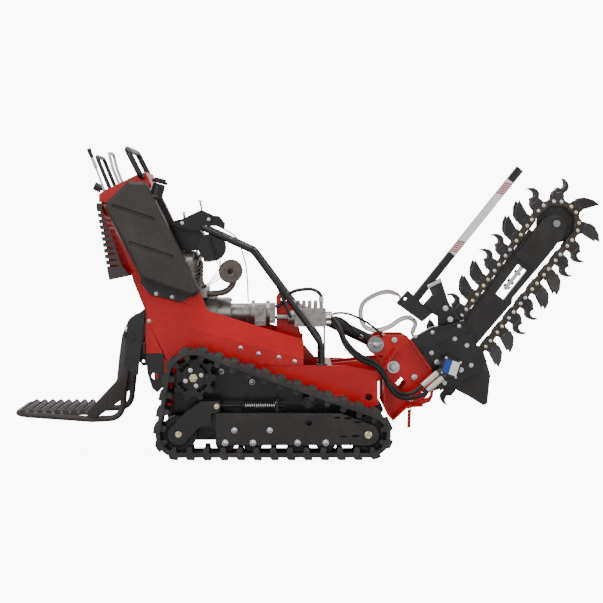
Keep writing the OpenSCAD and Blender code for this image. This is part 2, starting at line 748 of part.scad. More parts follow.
module frame_bolts() {
  color("silver") {
    for (s = [-1, 1]) {
      for (x = roller_x) bolt_head([x, roller_z], s * (outer_plate_y + seat_gap), 12, 9);
      for (p = [[-241, 129], [-88, 129]]) bolt_head(p, s * (outer_plate_y + seat_gap), 10, 7);
      bolt_head(front_idler, s * (outer_plate_y + seat_gap), 14, 9);
      for (p = [[-304, 368], [-168, 322]]) bolt_head(p, s * (frame_plate_y + seat_gap), 11, 8);
      for (p = [[-220, 470], [-140, 444], [-50, 428], [20, 410]])
        bolt_head(p, s * (rail_w / 2 + seat_gap + panel_t + seat_gap), 9, 6);
    }
  }
}
module bolt_head(at, y, r, h)
  slab(y > 0 ? y : y - h, y > 0 ? y + h : y) translate(at) circle(r = r);

// ---- operator platform ----

module on_side(s) if (s > 0) children(); else on_right() children();

// Fold-up hinge brackets, tie-down plates, tank brackets and the guard's uprights
module rear_brackets() {
  y = deck_w / 2 + 8;
  out = rail_w / 2 + seat_gap;
  color("#141414") for (s = [-1, 1]) on_side(s) {
    difference() {
      union() {
        slab(y, y + 8) polygon([[-712, 600], [-683, 622], [-642, 640], [-672, 352], [-696, 350],
          [-730, 396], [-722, 547]]);
        box([-651.3, rail_w / 2 - 50, 446], [-643.3, y + 1, 492]);
        bar_y(fold_pivot, 12, deck_w / 2 - 12, y + 1);
        bar_y(fold_pivot, 19, y + 7, y + 16);
      }
      bar_y([-692, 372], 6, y - 1, y + 9);
    }
    // tie-down plate
    difference() {
      slab(out, out + 8) polygon([[-641, 445], [-561, 445], [-561, 300], [-589, 271], [-612, 290], [-634, 360]]);
      bar_y([-600, 345], 15, out - 1, out + 9);
    }
    // upright between the engine and the guard
    slab(172, 180) polygon([[-634.7, 548.3], [-600, 548.3], [-640, 800], [-756, 1115.7], [-838, 1115.7],
      [-846, 1082], [-793, 776], [-705.4, 794], [-700, 770], [-634.7, 606]]);
    // bracket under the tank, on the upright
    slab(tank_w / 2 - tank_t - 12, tank_w / 2 - tank_t - seat_gap) polygon([[-656, 800], [-420, 712],
      [-484, 672], [-620, 707], [-664, 760]]);
    bar_y([-640, 750], 10, 179, tank_w / 2 - tank_t - 11);
    bar_y([-596, 735], 10, 146, tank_w / 2 - tank_t - 11);
  }
}

module platform() {
  r = deck_tube_d / 2;
  y = arm_y - r;
  color("#4c4643") {
    sweep(rounded([[-722, -y, 440], [-728, -y, 360], [-750, -y, 158], [-880, -y, 152], [deck_rear + r, -y, deck_z - 2],
      [deck_rear + r, y, deck_z - 2], [-880, y, 152], [-750, y, 158], [-728, y, 360], [-722, y, 440]], 60), r, 12, [0.02, 0.02, 1]);
    for (s = [-1, 1]) on_side(s) difference() {
      slab(deck_w / 2 - 10, deck_w / 2) union() {
        polygon([[-700, 600], [-716, 596], [-745, 526], [-758, 432], [-769, 328], [-866, 224], [-911, 174],
          [-862, 158], [-735, 250], [-718, 359], [-676, 520]]);
        translate(fold_pivot) circle(r = 30);
      }
      bar_y(fold_pivot, 12 + run_fit, deck_w / 2 - 20, deck_w / 2 + 20);
    }
    // deck sheet with rows of grip slots
    difference() {
      box([deck_rear + r, -y, deck_z - 2], [-862, y, deck_z + 4]);
      for (i = [0:7], j = [0:4])
        box([deck_rear + 50 + i * 38, -168 + j * 70, deck_z - 9], [deck_rear + 62 + i * 38, -112 + j * 70, deck_z + 5]);
    }
  }
}

// ---- lift cylinder ----

lift_dir = [cos(lift_angle), 0, -sin(lift_angle)];
function on_lift(d) = [rod_pin[0], 0, rod_pin[1]] + d * lift_dir;
module lift_barrel() {
  eye = 26;
  color("#0e0e0e") difference() {
    union() {
      bar(on_lift(196), on_lift(lift_len - 20), barrel_r);
      bar_y(lift_pin, eye, -28, 28);
      for (d = [214, lift_len - 70])
        bar(on_lift(d) + [0, -barrel_r - 12, 0], on_lift(d) + [0, 0, 0], 8);
    }
    bar(on_lift(195), on_lift(lift_len - 44), lift_rod_r + 6);
    bar_y(lift_pin, lift_pin_r + 0.6, -40, 40);
  }
  color("silver") difference() {
    bar(on_lift(190), on_lift(210), lift_rod_r + 5.7);
    bar(on_lift(189), on_lift(211), lift_rod_r + run_fit);
  }
}
module lift_rod() {
  color("silver") difference() {
    union() {
      bar(on_lift(20), on_lift(400), lift_rod_r);
      bar_y(rod_pin, 24, -20, 20);
    }
    bar_y(rod_pin, 14 + run_fit, -21, 21);
  }
}

// ---- boom carrier and digging head ----

tower = [[386, 517], [430, 519], [510, 519], [545, 498], [636, 368], [652, 300], [645, 240], [630, 215],
  [594, 203], [525, 200], [458, 138], [440, 156], [418, 200], [416, 372], [392, 420], [352, 450], [350, 490]];
module boom_carrier() {
  color("#c8101a") difference() {
    union() {
      for (s = [-1, 1]) on_side(s) {
        slab(carrier_y, carrier_y + carrier_t) union() {
          polygon(tower);
          translate(lift_pin) circle(r = 38);
        }
        // flanges that stiffen the rear, top and front edges
        slab(carrier_y + carrier_t - 1, carrier_flange) polygon([[418, 200], [416, 372], [422, 372], [424, 200]]);
        slab(carrier_y + carrier_t - 1, carrier_flange) polygon([[416, 372], [470, 462], [476, 459], [422, 369]]);
        slab(carrier_y + carrier_t - 1, carrier_flange - 40) polygon([[545, 498], [636, 368], [630, 364], [540, 494]]);
        slab(carrier_y + carrier_t - 1, carrier_flange) polygon([[418, 200], [458, 138], [525, 200], [594, 203],
          [594, 209], [522, 206], [459, 147], [424, 202]]);
      }
      bar_y([430, 500], 14, -carrier_y - 1, carrier_y + 1);
      bar_y([520, 490], 12, -carrier_y - 1, carrier_y + 1);
    }
    bar_y(pivot, pivot_r + run_fit, -200, 200);
    bar_y(lift_pin, lift_pin_r + run_fit, -200, 200);
    // window and lightening holes
    for (s = [-1, 1]) slab(s > 0 ? carrier_y - 1 : -carrier_y - carrier_t - 1, s > 0 ? carrier_y + carrier_t + 1 : -carrier_y + 1) {
      polygon([[500, 328], [524, 300], [500, 270], [474, 300]]);
      polygon([[395, 428], [412, 428], [432, 408], [420, 396]]);
      translate([612, 254]) circle(r = 20);
    }
  }
}

// Boom coordinates: u along the boom from the head shaft, v across it, upper side positive
function boom_xz(u, v) = head + u * [cos(boom_angle), sin(boom_angle)] + v * [-sin(boom_angle), cos(boom_angle)];

head_plate = [[520, 455], [560, 486], [700, 525], [765, 537], [818, 517], [843, 476], [872, 401],
  [864, 349], [766, 303], [683, 272], [620, 255], [560, 262], [536, 300]];
module head_frame() {
  hp = head_plate_y;
  face = hp + head_plate_t;
  color("#121212") {
    difference() {
      union() {
        for (s = [-1, 1]) on_side(s) {
          slab(hp, face) polygon(head_plate);
          // spacers against the carrier's plates
          for (p = [[592, 300], [604, 420], [560, 462]]) bar_y(p, 16, face - 1, carrier_y - seat_gap);
        }
        // upper channel beam on the near side
        on_side(-1) slab(face - 1, carrier_y - seat_gap) polygon([[545, 455], [545, 500], [640, 552], [785, 583], [800, 535], [640, 470]]);
        on_side(-1) slab(carrier_y - 2, carrier_y + 24) polygon([[652, 546], [652, 554], [785, 583], [787, 575]]);
      }
      on_side(-1) bar_y(head, 40, hp - 1, face + 1);
      bar_y(head, 22 + run_fit, hp - 1, face + 1);
    }
  }
}

// Flat boom with its window, from the head to the nose fork
module boom_bar() {
  color("#151313") difference() {
    union() {
      slab(-22, 22) polygon([boom_xz(104, 50), boom_xz(boom_len - 92, 66), boom_xz(boom_len - 92, -62),
        boom_xz(420, -50), boom_xz(400, -62), boom_xz(104, -46)]);
      for (s = [-1, 1]) on_side(s) slab(24, 32) union() {
        polygon([boom_xz(boom_len - 230, 58), boom_xz(boom_len - 20, 60), boom_xz(boom_len + 36, 30),
          boom_xz(boom_len + 36, -30), boom_xz(boom_len - 20, -60), boom_xz(boom_len - 230, -56)]);
      }
      for (p = [[boom_len - 210, 40], [boom_len - 210, -40]])
        bar_y(boom_xz(p[0], p[1]), 12, -24.5, 24.5);
      // bosses that bolt the boom between the head plates
      for (v = [-28, 28])
        bar_y(boom_xz(122, v), 13, -head_plate_y + seat_gap, head_plate_y - seat_gap);
    }
    slab(-40, 40) polygon([boom_xz(390, 22), boom_xz(boom_len - 250, 26), boom_xz(boom_len - 250, -26), boom_xz(390, -24)]);
    bar_y(boom_xz(boom_len, 0), 16 + run_fit, -60, 60);
  }
}

// Threaded rod and nuts in the boom's window that set the chain's tension
module tension_adjuster() {
  a = boom_xz(430, 0);
  b = boom_xz(boom_len - 250 - seat_gap, 0);
  color("silver") {
    bar([a[0], 0, a[1]], [b[0], 0, b[1]], 9);
    for (u = [440, 468, 520])
      translate([boom_xz(u, 0)[0], 0, boom_xz(u, 0)[1]]) rotate([0, 90 - boom_angle, 0]) cylinder(r = 17, h = 14, $fn = 6);
  }
}

module nose_roller() {
  c = boom_xz(boom_len, 0);
  color("#1a1818") difference() {
    union() {
      bar_y(c, nose_r - roller_link_r - 1, -9, 9);
      bar_y(c, 46, -22, 22);
    }
    bar_y(c, 16 + run_fit, -30, 30);
  }
}

// Its teeth end just inside the chain's bushes, so it turns freely within the fixed loop
sprocket_clear = 1.2;
module chain_sprocket() {
  tip = chain_r - roller_link_r - sprocket_clear;
  color("#2a2826") translate([head[0], 0, head[1]]) rotate([0, -run_normal(chain_loop[0], chain_loop[1]), 0])
    union() {
      slab(-9, 9) polygon(toothed(chain_teeth, tip - 9, tip));
      slab(-44, 44) circle(r = 34);
      slab(-head_plate_y - head_plate_t, head_plate_y + head_plate_t + 6) circle(r = 22);
    }
}

// Loop that the chain's pins lie on
chain_loop = [
  [head[0], head[1], chain_r],
  [boom_xz(boom_len, 0)[0], boom_xz(boom_len, 0)[1], nose_r]
];
chain_step = loop_length(chain_loop) / chain_n;
function chain_pin(k) = flat(on_loop(chain_loop, k * chain_step));

module link_plate(a, b, h, y0, y1) {
  d = b - a;
  translate([a[0], 0, a[1]]) rotate([0, -atan2(d[1], d[0]), 0]) slab(y0, y1) union() {
    translate([0, -h / 2]) square([norm(d), h]);
    circle(r = h / 2, $fn = 24);
    translate([norm(d), 0]) circle(r = h / 2, $fn = 24);
  }
}
module digging_chain() {
  out = chain_w / 2;
  color("#3b302a") for (k = [0:2:chain_n - 1]) {
    a = chain_pin(k);
    b = chain_pin(k + 1);
    c = chain_pin(k + 2);
    // outer link: two plates on two pins
    for (s = [-1, 1]) link_plate(a, b, link_h, s > 0 ? out - link_t : -out, s > 0 ? out : -out + link_t);
    for (p = [a, b]) bar_y(p, link_pin_r, -out + 1, out - 1);
    // inner link: two plates on two bushes
    difference() {
      union() {
        for (s = [-1, 1])
          link_plate(b, c, link_h - 8, s > 0 ? out - 2 * link_t - 0.5 : -out + link_t + 0.5,
            s > 0 ? out - link_t - 0.5 : -out + 2 * link_t + 0.5);
        for (p = [b, c]) bar_y(p, roller_link_r, -out + 2 * link_t, out - 2 * link_t);
      }
      for (p = [b, c]) bar_y(p, link_pin_r + 0.3, -out, out);
    }
  }
}

tooth_base = link_h / 2 + seat_gap;
// Cutting teeth in a link's own frame: hooked cup teeth and flared side cutters
module cup_tooth() {
  slab(-chain_w / 2 - 6, chain_w / 2 + 6) polygon([[-2, tooth_base], [44, tooth_base], [44, 50], [30, 50], [22, 62], [8, 58],
    [-2, 66], [-8, 84], [4, 104], [-16, 92], [-24, 70], [-14, 46], [-2, 40]]);
}
module side_cutter() {
  slab(-chain_w / 2 - 30, chain_w / 2 + 30) polygon([[0, tooth_base], [42, tooth_base], [42, 44], [26, 52], [10, 96], [-26, 88], [-8, 52], [0, 44]]);
}
module digging_teeth() {
  color("#2c2725") for (k = [0:2:chain_n - 1]) {
    a = chain_pin(k);
    b = chain_pin(k + 1);
    d = b - a;
    translate([a[0], 0, a[1]]) rotate([0, -atan2(d[1], d[0]), 0]) mirror([0, 0, 1])
      if (floor(k / 4) % 2 == 0) cup_tooth(); else side_cutter();
  }
}

// Ends of the motor's two hose fittings
function fitting_start(k) = [682 - k * 22, -176, 334 + k * 22];
function fitting_end(k) = [628 - k * 22, -187, 290 + k * 22];
function fitting_dir(k) = unit(fitting_end(k) - fitting_start(k));

// Hydraulic motor on the near side of the head, with its two port fittings
module digging_motor() {
  y = head_plate_y + head_plate_t;
  color("#20201f") on_right() translate([head[0], 0, head[1]]) rotate([0, 18, 0]) {
    slab(y + seat_gap, y + 14) union() {
      circle(r = 52);
      translate([-70, -20]) square([140, 40]);
    }
    slab(y + 13.9, y + 56) circle(r = 46);
    slab(y + 55.9, y + 104) translate([-40, -40]) square([80, 80]);
  }
  color("ivory") {
    for (k = [0, 1]) {
      bar([704 - k * 14, -y - 84, 352 + k * 22], fitting_start(k), 13);
      bar(fitting_start(k), fitting_end(k), 11);
    }
  }
}

// Warning bar that stands beside the chain, with its clamp leg
bar_side = [-104, -68];
bar_foot = [590, 712];
bar_tip = [1034, 1268];
module safety_bar() {
  d = unit(bar_tip - bar_foot);
  n = [-d[1], d[0]] * 18;
  color("#141212") {
    slab(bar_side[0], bar_side[1]) polygon([bar_foot + n, bar_tip + n, bar_tip - n, bar_foot - n]);
    slab(bar_side[0] + 6, bar_side[1] - 6) polygon([[627, 730], [678, 778], [714, 667], [765, 589],
      [764, 579.4], [667, 558.6], [663, 645]]);
    slab(bar_side[0] + 10, bar_side[1] - 10) polygon([[640.3, 616.3], [600.3, 655.8], [640, 700], [668, 690], [668, 600]]);
  }
}
module bumper_block()
  color("#101010") slab(bar_side[0] - 2, bar_side[1] + 2) difference() {
    polygon([[478, 662], [530, 720], [566, 689], [640, 616], [594, 578]]);
    translate([519, 682]) circle(r = 7);
  }

// Steel shields beside the chain, inside the head plates
module dirt_shield() {
  color("#2d2a29") for (s = [-1, 1]) on_side(s)
    slab(61.5, head_plate_y - seat_gap) polygon([[688, 245], [738, 276], [770, 258], [806, 240], [878, 195],
      [896, 205], [909, 335], [873, 456], [838, 470], [840, 400], [790, 316], [700, 290]]);
}

// Nylon strap looped from the bar's bracket back to the head
strap_line = [[499.5, -88, 686.9], [480, -88, 704], [436, -88, 714], [380, -88, 698], [330, -88, 662], [318, -88, 610],
  [338, -88, 556], [392, -88, 540], [448, -88, 556], [500, -88, 590], [540, -88, 596], [566, -88, 572], [556, -88, 540], [552.2, -88, 522.3], [559.9, -88, 508.7]];
module guard_strap() {
  line = smooth(strap_line, 4);
  n = len(line);
  side = [for (i = [0:n - 1]) let (t = tangent(line, i)) [-t[2], t[0]]];
  color("#d9d0ce") slab(-96, -78) polygon(concat(
    [for (i = [0:n - 1]) [line[i][0], line[i][2]] + 1.5 * side[i]],
    [for (i = [n - 1:-1:0]) [line[i][0], line[i][2]] - 1.5 * side[i]]));
}

module head_bolts() {
  flat_y = carrier_y + carrier_t;
  color("silver") {
    // main pivot pin
    bar_y(pivot, pivot_r, -flat_y - 6, flat_y + 6);
    // cylinder pin, in two stubs, with a retaining disc on each side
    for (s = [-1, 1]) on_side(s) {
      bar_y(lift_pin, lift_pin_r, carrier_y - 1, flat_y + 1);
      bar_y(lift_pin, 36, flat_y + seat_gap, flat_y + 10);
      for (p = [[-24, 0], [0, 0], [24, 0]]) bar_y(lift_pin + p, p[0] == 0 ? 13 : 7, flat_y + 9.9, flat_y + 17);
    }
    for (p = [[470, 498], [560, 330], [545, 232]]) for (s = [-1, 1]) bolt_head(p, s * (flat_y + seat_gap), 8, 6);
    for (p = [[700, 640], [722, 590]]) bolt_head(p, bar_side[0] + 6 - seat_gap, 7, 5);
    // nose bolt
    bar_y(boom_xz(boom_len, 0), 16, -42, 42);
  }
}

// ---- controls ----

module travel_lever() {
  w = 95;
  p = travel_pivot;
  color("silver") {
    difference() {
      union() {
        sweep(rounded([[p[0], -w, p[1]], [-768, -w, 1200], [-796, -w, 1270], [-812, -w, 1338],
          [-812, w, 1338], [-796, w, 1270], [-768, w, 1200], [p[0], w, p[1]]], 20), 7, 10, [1, 0, 0.15]);
        for (y = [-w, w]) bar_y(p, 12, y - 8, y + 8);
      }
      bar_y(p, 6 + run_fit, -w - 20, w + 20);
    }
  }
}
module throttle_lever() {
  p = throttle_pivot;
  color("silver") difference() {
    union() {
      bar([p[0], -172, p[1]], [-862, -172, 1270], 5);
      bar_y(p, 11, -178, -166);
    }
    bar_y(p, 5 + run_fit, -190, -150);
  }
  color("#151515") bar([-861.8, -172, 1269.4], [-893, -172, 1352], 8);
}
boom_lever_ball = [-840.5, 1165.5];
module boom_lever() {
  b = boom_lever_ball;
  color("#151515") {
    translate([b[0], 120, b[1]]) sphere(r = 9);
    bar_y(b, 5, 106, 134);
    bar([b[0], 120, b[1]], [-876, 120, 1182], 6);
    bar([-872, 120, 1180.2], [-904, 120, 1195], 19);
  }
}
lock_pin_eye = [536, 189.7];
module lock_pin() {
  color("#a01018") difference() {
    union() {
      bar([536, -146, 190], [533, -146, 106], 8);
      bar_y(lock_pin_eye, 10, -152, -140);
    }
    bar_y(lock_pin_eye, 4, -160, -130);
  }
}

// ---- the assembly ----

placed() main_frame();
placed() on_right() side_panel();  // side_panel_right
placed() side_panel();  // side_panel_left
placed() tank_right();
placed() tank_left();
placed() filler_cap();
placed() operator_guard();
placed() control_console();
placed() handlebar();
placed() engine_block();
placed() engine_cover();
placed() air_cleaner();
placed() muffler();
placed() hydraulic_pump();
placed() control_valve();
placed() engine_guard();
placed() chassis_hoses();
placed() head_hoses();
placed() frame_bolts();
placed() on_right() track_frame();  // track_frame_right
placed() track_frame();  // track_frame_left
placed() on_right() track_plate();  // track_plate_right
placed() track_plate();  // track_plate_left
placed() on_right() track_belt();  // track_belt_right
placed() track_belt();  // track_belt_left
placed() { drive_motor(); on_right() drive_motor(); }  // drive_motors
placed() on_right() tension_spring();  // tension_spring_right
placed() tension_spring();  // tension_spring_left
placed() on_right() drive_sprocket();  // drive_sprocket_right
placed() drive_sprocket();  // drive_sprocket_left
placed() on_right() idler_arm();  // idler_arm_right
placed() idler_arm();  // idler_arm_left
placed() on_right() idler_wheel(rear_idler);  // rear_idler_right
placed() idler_wheel(rear_idler);  // rear_idler_left
placed() on_right() idler_wheel(front_idler);  // front_idler_right
placed() idler_wheel(front_idler);  // front_idler_left
placed() on_right() track_rollers();  // track_rollers_right
placed() track_rollers();  // track_rollers_left
placed() rear_brackets();
placed() platform();
placed() lift_barrel();
placed() lift_rod();
placed() boom_carrier();
placed() head_frame();
placed() boom_bar();
placed() tension_adjuster();
placed() nose_roller();
placed() chain_sprocket();
placed() digging_chain();
placed() digging_teeth();
placed() digging_motor();
placed() safety_bar();
placed() bumper_block();
placed() dirt_shield();
placed() guard_strap();
placed() head_bolts();
placed() travel_lever();
placed() throttle_lever();
placed() boom_lever();
placed() lock_pin();
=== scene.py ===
# %% [markdown]
# A stand-on trencher: two rubber tracks, a red chassis with an engine and a
# pump, a step for the operator, and a digging chain on a boom that a cylinder
# lifts. The hard parts come from a imported model and stay where they are. This
# notebook gives them their finishes, and models again the pieces that need
# finer shapes: belts, springs, teeth, hoses, tubes and the strap.

# %% Load the imported model
import math

import bmesh
import bpy
from mathutils import Matrix, Vector


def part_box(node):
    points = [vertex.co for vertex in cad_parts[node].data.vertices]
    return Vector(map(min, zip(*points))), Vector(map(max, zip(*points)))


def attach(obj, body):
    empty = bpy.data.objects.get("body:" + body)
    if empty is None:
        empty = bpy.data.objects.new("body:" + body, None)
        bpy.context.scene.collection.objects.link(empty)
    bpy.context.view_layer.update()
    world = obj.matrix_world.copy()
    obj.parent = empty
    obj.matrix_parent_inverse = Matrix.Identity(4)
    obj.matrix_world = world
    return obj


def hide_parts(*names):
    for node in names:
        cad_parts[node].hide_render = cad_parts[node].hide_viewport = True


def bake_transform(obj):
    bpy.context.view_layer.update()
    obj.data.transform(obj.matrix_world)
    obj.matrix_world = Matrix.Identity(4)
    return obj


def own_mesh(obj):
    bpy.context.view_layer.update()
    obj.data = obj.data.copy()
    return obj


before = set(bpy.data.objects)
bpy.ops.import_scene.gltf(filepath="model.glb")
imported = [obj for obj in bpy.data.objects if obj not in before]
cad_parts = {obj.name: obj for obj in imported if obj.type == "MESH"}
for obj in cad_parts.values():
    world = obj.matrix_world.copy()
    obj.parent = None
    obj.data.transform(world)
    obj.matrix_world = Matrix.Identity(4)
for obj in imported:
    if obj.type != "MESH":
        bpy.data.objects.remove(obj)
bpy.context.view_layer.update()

# %% [markdown]
# Lengths below are in millimetres in the layout that the machine is drawn in,
# with X forwards, Y to its left and Z up. The frame's origin lies under the
# middle of the overall length, so one helper moves a layout point there.

# %% A layout point in the frame
MM = 0.001
MIDDLE = 85.1


def at(x, y, z):
    """A layout point in millimetres, as a place in the frame in metres."""
    return Vector(((x - MIDDLE) * MM, y * MM, z * MM))


def face_of(node):
    """How far a CAD node reaches from the middle plane, in millimetres."""
    return max(abs(corner.y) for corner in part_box(node)) / MM


# %% [markdown]
# The camera stands beside the machine, a metre up, and looks level across it
# with a long lens, so the near track hides most of the far one.

# %% Camera
camera = bpy.data.objects.new("camera", bpy.data.cameras.new("camera"))
bpy.context.scene.collection.objects.link(camera)
bpy.context.scene.camera = camera
camera.data.lens = 97.4
camera.data.sensor_width = 36
camera.location = at(0, -7438, 1037)
LOOK_DOWN, LOOK_AHEAD = math.radians(2.86), math.radians(0.40)
camera.rotation_euler = (math.pi / 2 - LOOK_DOWN, 0, -LOOK_AHEAD)
camera.data.clip_end = 100
print("camera at", [round(c, 3) for c in camera.location])

# %% [markdown]
# The machine stands in a wide pale bowl, a floor that curves up into a wall all
# round, so no horizon shows from any side. A large soft light overhead, one
# from the camera's side, one from the front and one from behind give long
# highlights on the paint.

# %% Floor and backdrop
sweep = bmesh.new()
bowl_line = [(0, 0)] + [(11 + 3 * math.sin(a), 3 - 3 * math.cos(a))
                        for a in [math.radians(9 * k) for k in range(11)]] + [(14, 11)]
line = [sweep.verts.new((r, 0, z)) for r, z in bowl_line]
edges = [sweep.edges.new(pair) for pair in zip(line, line[1:])]
bmesh.ops.spin(sweep, geom=line + edges, cent=(0, 0, 0), axis=(0, 0, 1), angle=math.tau,
               steps=96, use_merge=True, use_duplicate=False)
bmesh.ops.remove_doubles(sweep, verts=sweep.verts, dist=1e-5)
bmesh.ops.recalc_face_normals(sweep, faces=sweep.faces)
if sum(face.normal.z for face in sweep.faces) < 0:
    bmesh.ops.reverse_faces(sweep, faces=sweep.faces)
backdrop_mesh = bpy.data.meshes.new("backdrop")
sweep.to_mesh(backdrop_mesh)
backdrop_mesh.shade_smooth()
backdrop = bpy.data.objects.new("backdrop", backdrop_mesh)
bpy.context.scene.collection.objects.link(backdrop)
print("backdrop faces:", len(backdrop_mesh.polygons))

# %% Studio lights


def soft_light(name, place, aim, width, height, power):
    """A rectangular area light at place, turned towards aim."""
    data = bpy.data.lights.new(name, "AREA")
    data.shape = "RECTANGLE"
    data.size, data.size_y, data.energy = width, height, power
    lamp = bpy.data.objects.new(name, data)
    bpy.context.scene.collection.objects.link(lamp)
    lamp.location = place
    lamp.rotation_euler = (Vector(aim) - Vector(place)).to_track_quat("-Z", "Y").to_euler()
    return lamp


soft_light("top_light", (-0.5, -0.6, 4.2), (0, 0, 0.5), 4, 2.4, 130)
soft_light("side_light", (-2.5, -5.0, 2.6), (0, 0, 0.6), 2.0, 1.4, 95)
soft_light("front_light", (4.2, -3.2, 2.2), (0.3, 0, 0.6), 1.4, 2.0, 60)
soft_light("back_light", (-1.0, 4.0, 3.4), (0, 0, 0.8), 4, 2, 80)
world = bpy.data.worlds.new("studio")
bpy.context.scene.world = world
world.use_nodes = True
world.node_tree.nodes["Background"].inputs["Color"].default_value = (1, 1, 1, 1)
world.node_tree.nodes["Background"].inputs["Strength"].default_value = 0.45

# %% [markdown]
# Every finish is a node material. To keep its maths readable, a Channel wraps
# one socket, and the usual operators on it add Math nodes. A Finish holds the
# material, and its one method, node, adds any other node: settings first, then
# the values or links of its sockets.

# %% Channels and finishes


class Channel:
    """A value or a colour on its way through a material."""

    def __init__(self, finish, socket):
        self.finish, self.socket = finish, socket

    def ramp(self, low, high):
        """0 below low and 1 above high, with a smooth change between them."""
        return self.finish.node("MapRange", self, low, high, interpolation_type="SMOOTHSTEP")


for word, operation in {"add": "ADD", "sub": "SUBTRACT", "mul": "MULTIPLY", "truediv": "DIVIDE",
                        "pow": "POWER"}.items():
    setattr(Channel, f"__{word}__", lambda self, other, operation=operation:
            self.finish.node("Math", self, other, operation=operation))
    setattr(Channel, f"__r{word}__", lambda self, other, operation=operation:
            self.finish.node("Math", other, self, operation=operation))


class Finish:
    """A material under construction, with its nodes and its shader."""

    def __init__(self, name, metallic=0.0, **constants):
        self.material = bpy.data.materials.new(name)
        self.material.use_nodes = True
        self.tree = self.material.node_tree
        self.shader = self.tree.nodes["Principled BSDF"]
        self.shader.inputs["Metallic"].default_value = metallic
        for socket, value in constants.items():
            self.shader.inputs[socket.replace("_", " ")].default_value = value
        self.place = self.node("TexCoord", out="Object")

    def node(self, kind, *values, out=0, named=None, **settings):
        """Adds a node with its settings, then fills its sockets in order or by name."""
        made = self.tree.nodes.new("ShaderNode" + kind)
        for key, value in settings.items():
            if key == "stops":
                for k, (stop, colour) in enumerate(value):
                    ramp = made.color_ramp.elements
                    element = ramp[k] if k < len(ramp) else ramp.new(stop)
                    element.position, element.color = stop, (*colour, 1)
            else:
                setattr(made, key, value)
        for key, value in [*enumerate(values), *(named or {}).items()]:
            self.fill(made.inputs[key], value)
        return Channel(self, made.outputs[out])

    def fill(self, socket, value):
        if isinstance(value, Channel):
            self.tree.links.new(value.socket, socket)
        else:
            socket.default_value = (*value, 1) if isinstance(value, tuple) and len(
                value) == 3 and socket.type == "RGBA" else value

    def noise(self, scale, detail=3.0, roughness=0.5, stretch=(1, 1, 1)):
        """Cloudy values from 0 to 1, about 1 / scale metres across."""
        place = self.node("Mapping", self.place, named={"Scale": stretch})
        return self.node("TexNoise", named={"Vector": place, "Scale": scale, "Detail": detail,
                                            "Roughness": roughness})

    def mix(self, share, first, second):
        """A colour that goes from first to second as share goes from 0 to 1."""
        return self.node("Mix", data_type="RGBA", out=2,
                         named={0: share, 6: first, 7: second})

    def edges(self, radius):
        """1 along sharp edges and 0 on flat ground, with the rounded normal as well."""
        rounded = self.node("Bevel", samples=3, named={"Radius": radius})
        plain = self.node("NewGeometry", out="Normal")
        facing = self.node("VectorMath", rounded, plain, operation="DOT_PRODUCT", out="Value")
        return (1 - facing).ramp(0.004, 0.12), rounded

    def bump(self, height, strength, distance, normal=None):
        made = {"Strength": strength, "Distance": distance, "Height": height}
        if normal is not None:
            made["Normal"] = normal
        self.surface(Normal=self.node("Bump", named=made))

    def surface(self, **sockets):
        for name, value in sockets.items():
            self.fill(self.shader.inputs[name.replace("_", " ")], value)


FINISHES = {}
print("ready to mix finishes")

# %% [markdown]
# Paint first. Real paint on steel plate is never one colour: it holds a faint
# orange peel, a little dust in patches, and it is thinner and more worn on sharp
# edges. The Bevel node rounds the highlights on edges and, against the flat
# normal, shows where those edges are.

# %% Painted steel


def paint(name, colour, worn, roughness, coat=0.0, peel=0.15, edge=0.0016, dust=0.12,
          dust_colour=(0.16, 0.14, 0.12), wear=0.5):
    """Sprayed paint on steel, with worn edges and a film of dust."""
    finish = Finish(name, Coat_Roughness=0.06, Coat_Weight=coat, Specular_IOR_Level=0.3)
    sharp, rounded = finish.edges(edge)
    cloud = finish.noise(5, 5, 0.6)
    speck = finish.noise(70, 4, 0.7)
    rub = sharp * speck.ramp(0.42, 0.62) * wear
    film = cloud.ramp(0.45, 0.8) * speck.ramp(0.3, 0.8) * dust
    dark = tuple(c * 0.82 for c in colour)
    base = finish.mix(cloud.ramp(0.3, 0.7), dark, colour)
    base = finish.mix(film, base, dust_colour)
    finish.surface(Base_Color=finish.mix(rub, base, worn),
                   Roughness=roughness + cloud * 0.1 + film * 0.6 + rub * 0.2)
    finish.bump(finish.noise(650, 2) * 0.5 + speck * 0.5, peel, 0.0004, rounded)
    FINISHES[name] = finish.material
    return finish


paint("red_paint", (0.5, 0.0, 0.002), (0.6, 0.03, 0.03), 0.28, coat=0.2, dust=0.03, peel=0.08)
paint("red_pin", (0.42, 0.012, 0.016), (0.3, 0.2, 0.18), 0.42, dust=0.25)
paint("black_paint", (0.012, 0.011, 0.011), (0.1, 0.095, 0.09), 0.28, coat=0.25)
paint("plate_black", (0.026, 0.023, 0.021), (0.14, 0.13, 0.12), 0.42, dust=0.3)
paint("platform_grey", (0.04, 0.034, 0.031), (0.16, 0.145, 0.135), 0.42, peel=0.4, dust=0.4)
paint("boom_steel", (0.016, 0.014, 0.013), (0.16, 0.14, 0.13), 0.3, coat=0.15, dust=0.25, wear=0.8)
paint("wheel_steel", (0.014, 0.013, 0.013), (0.26, 0.24, 0.22), 0.36, dust=0.3, wear=1.0)
paint("tooth_steel", (0.026, 0.023, 0.022), (0.34, 0.32, 0.3), 0.36, dust=0.3, wear=1.0, edge=0.003)
print("paints:", sorted(FINISHES))
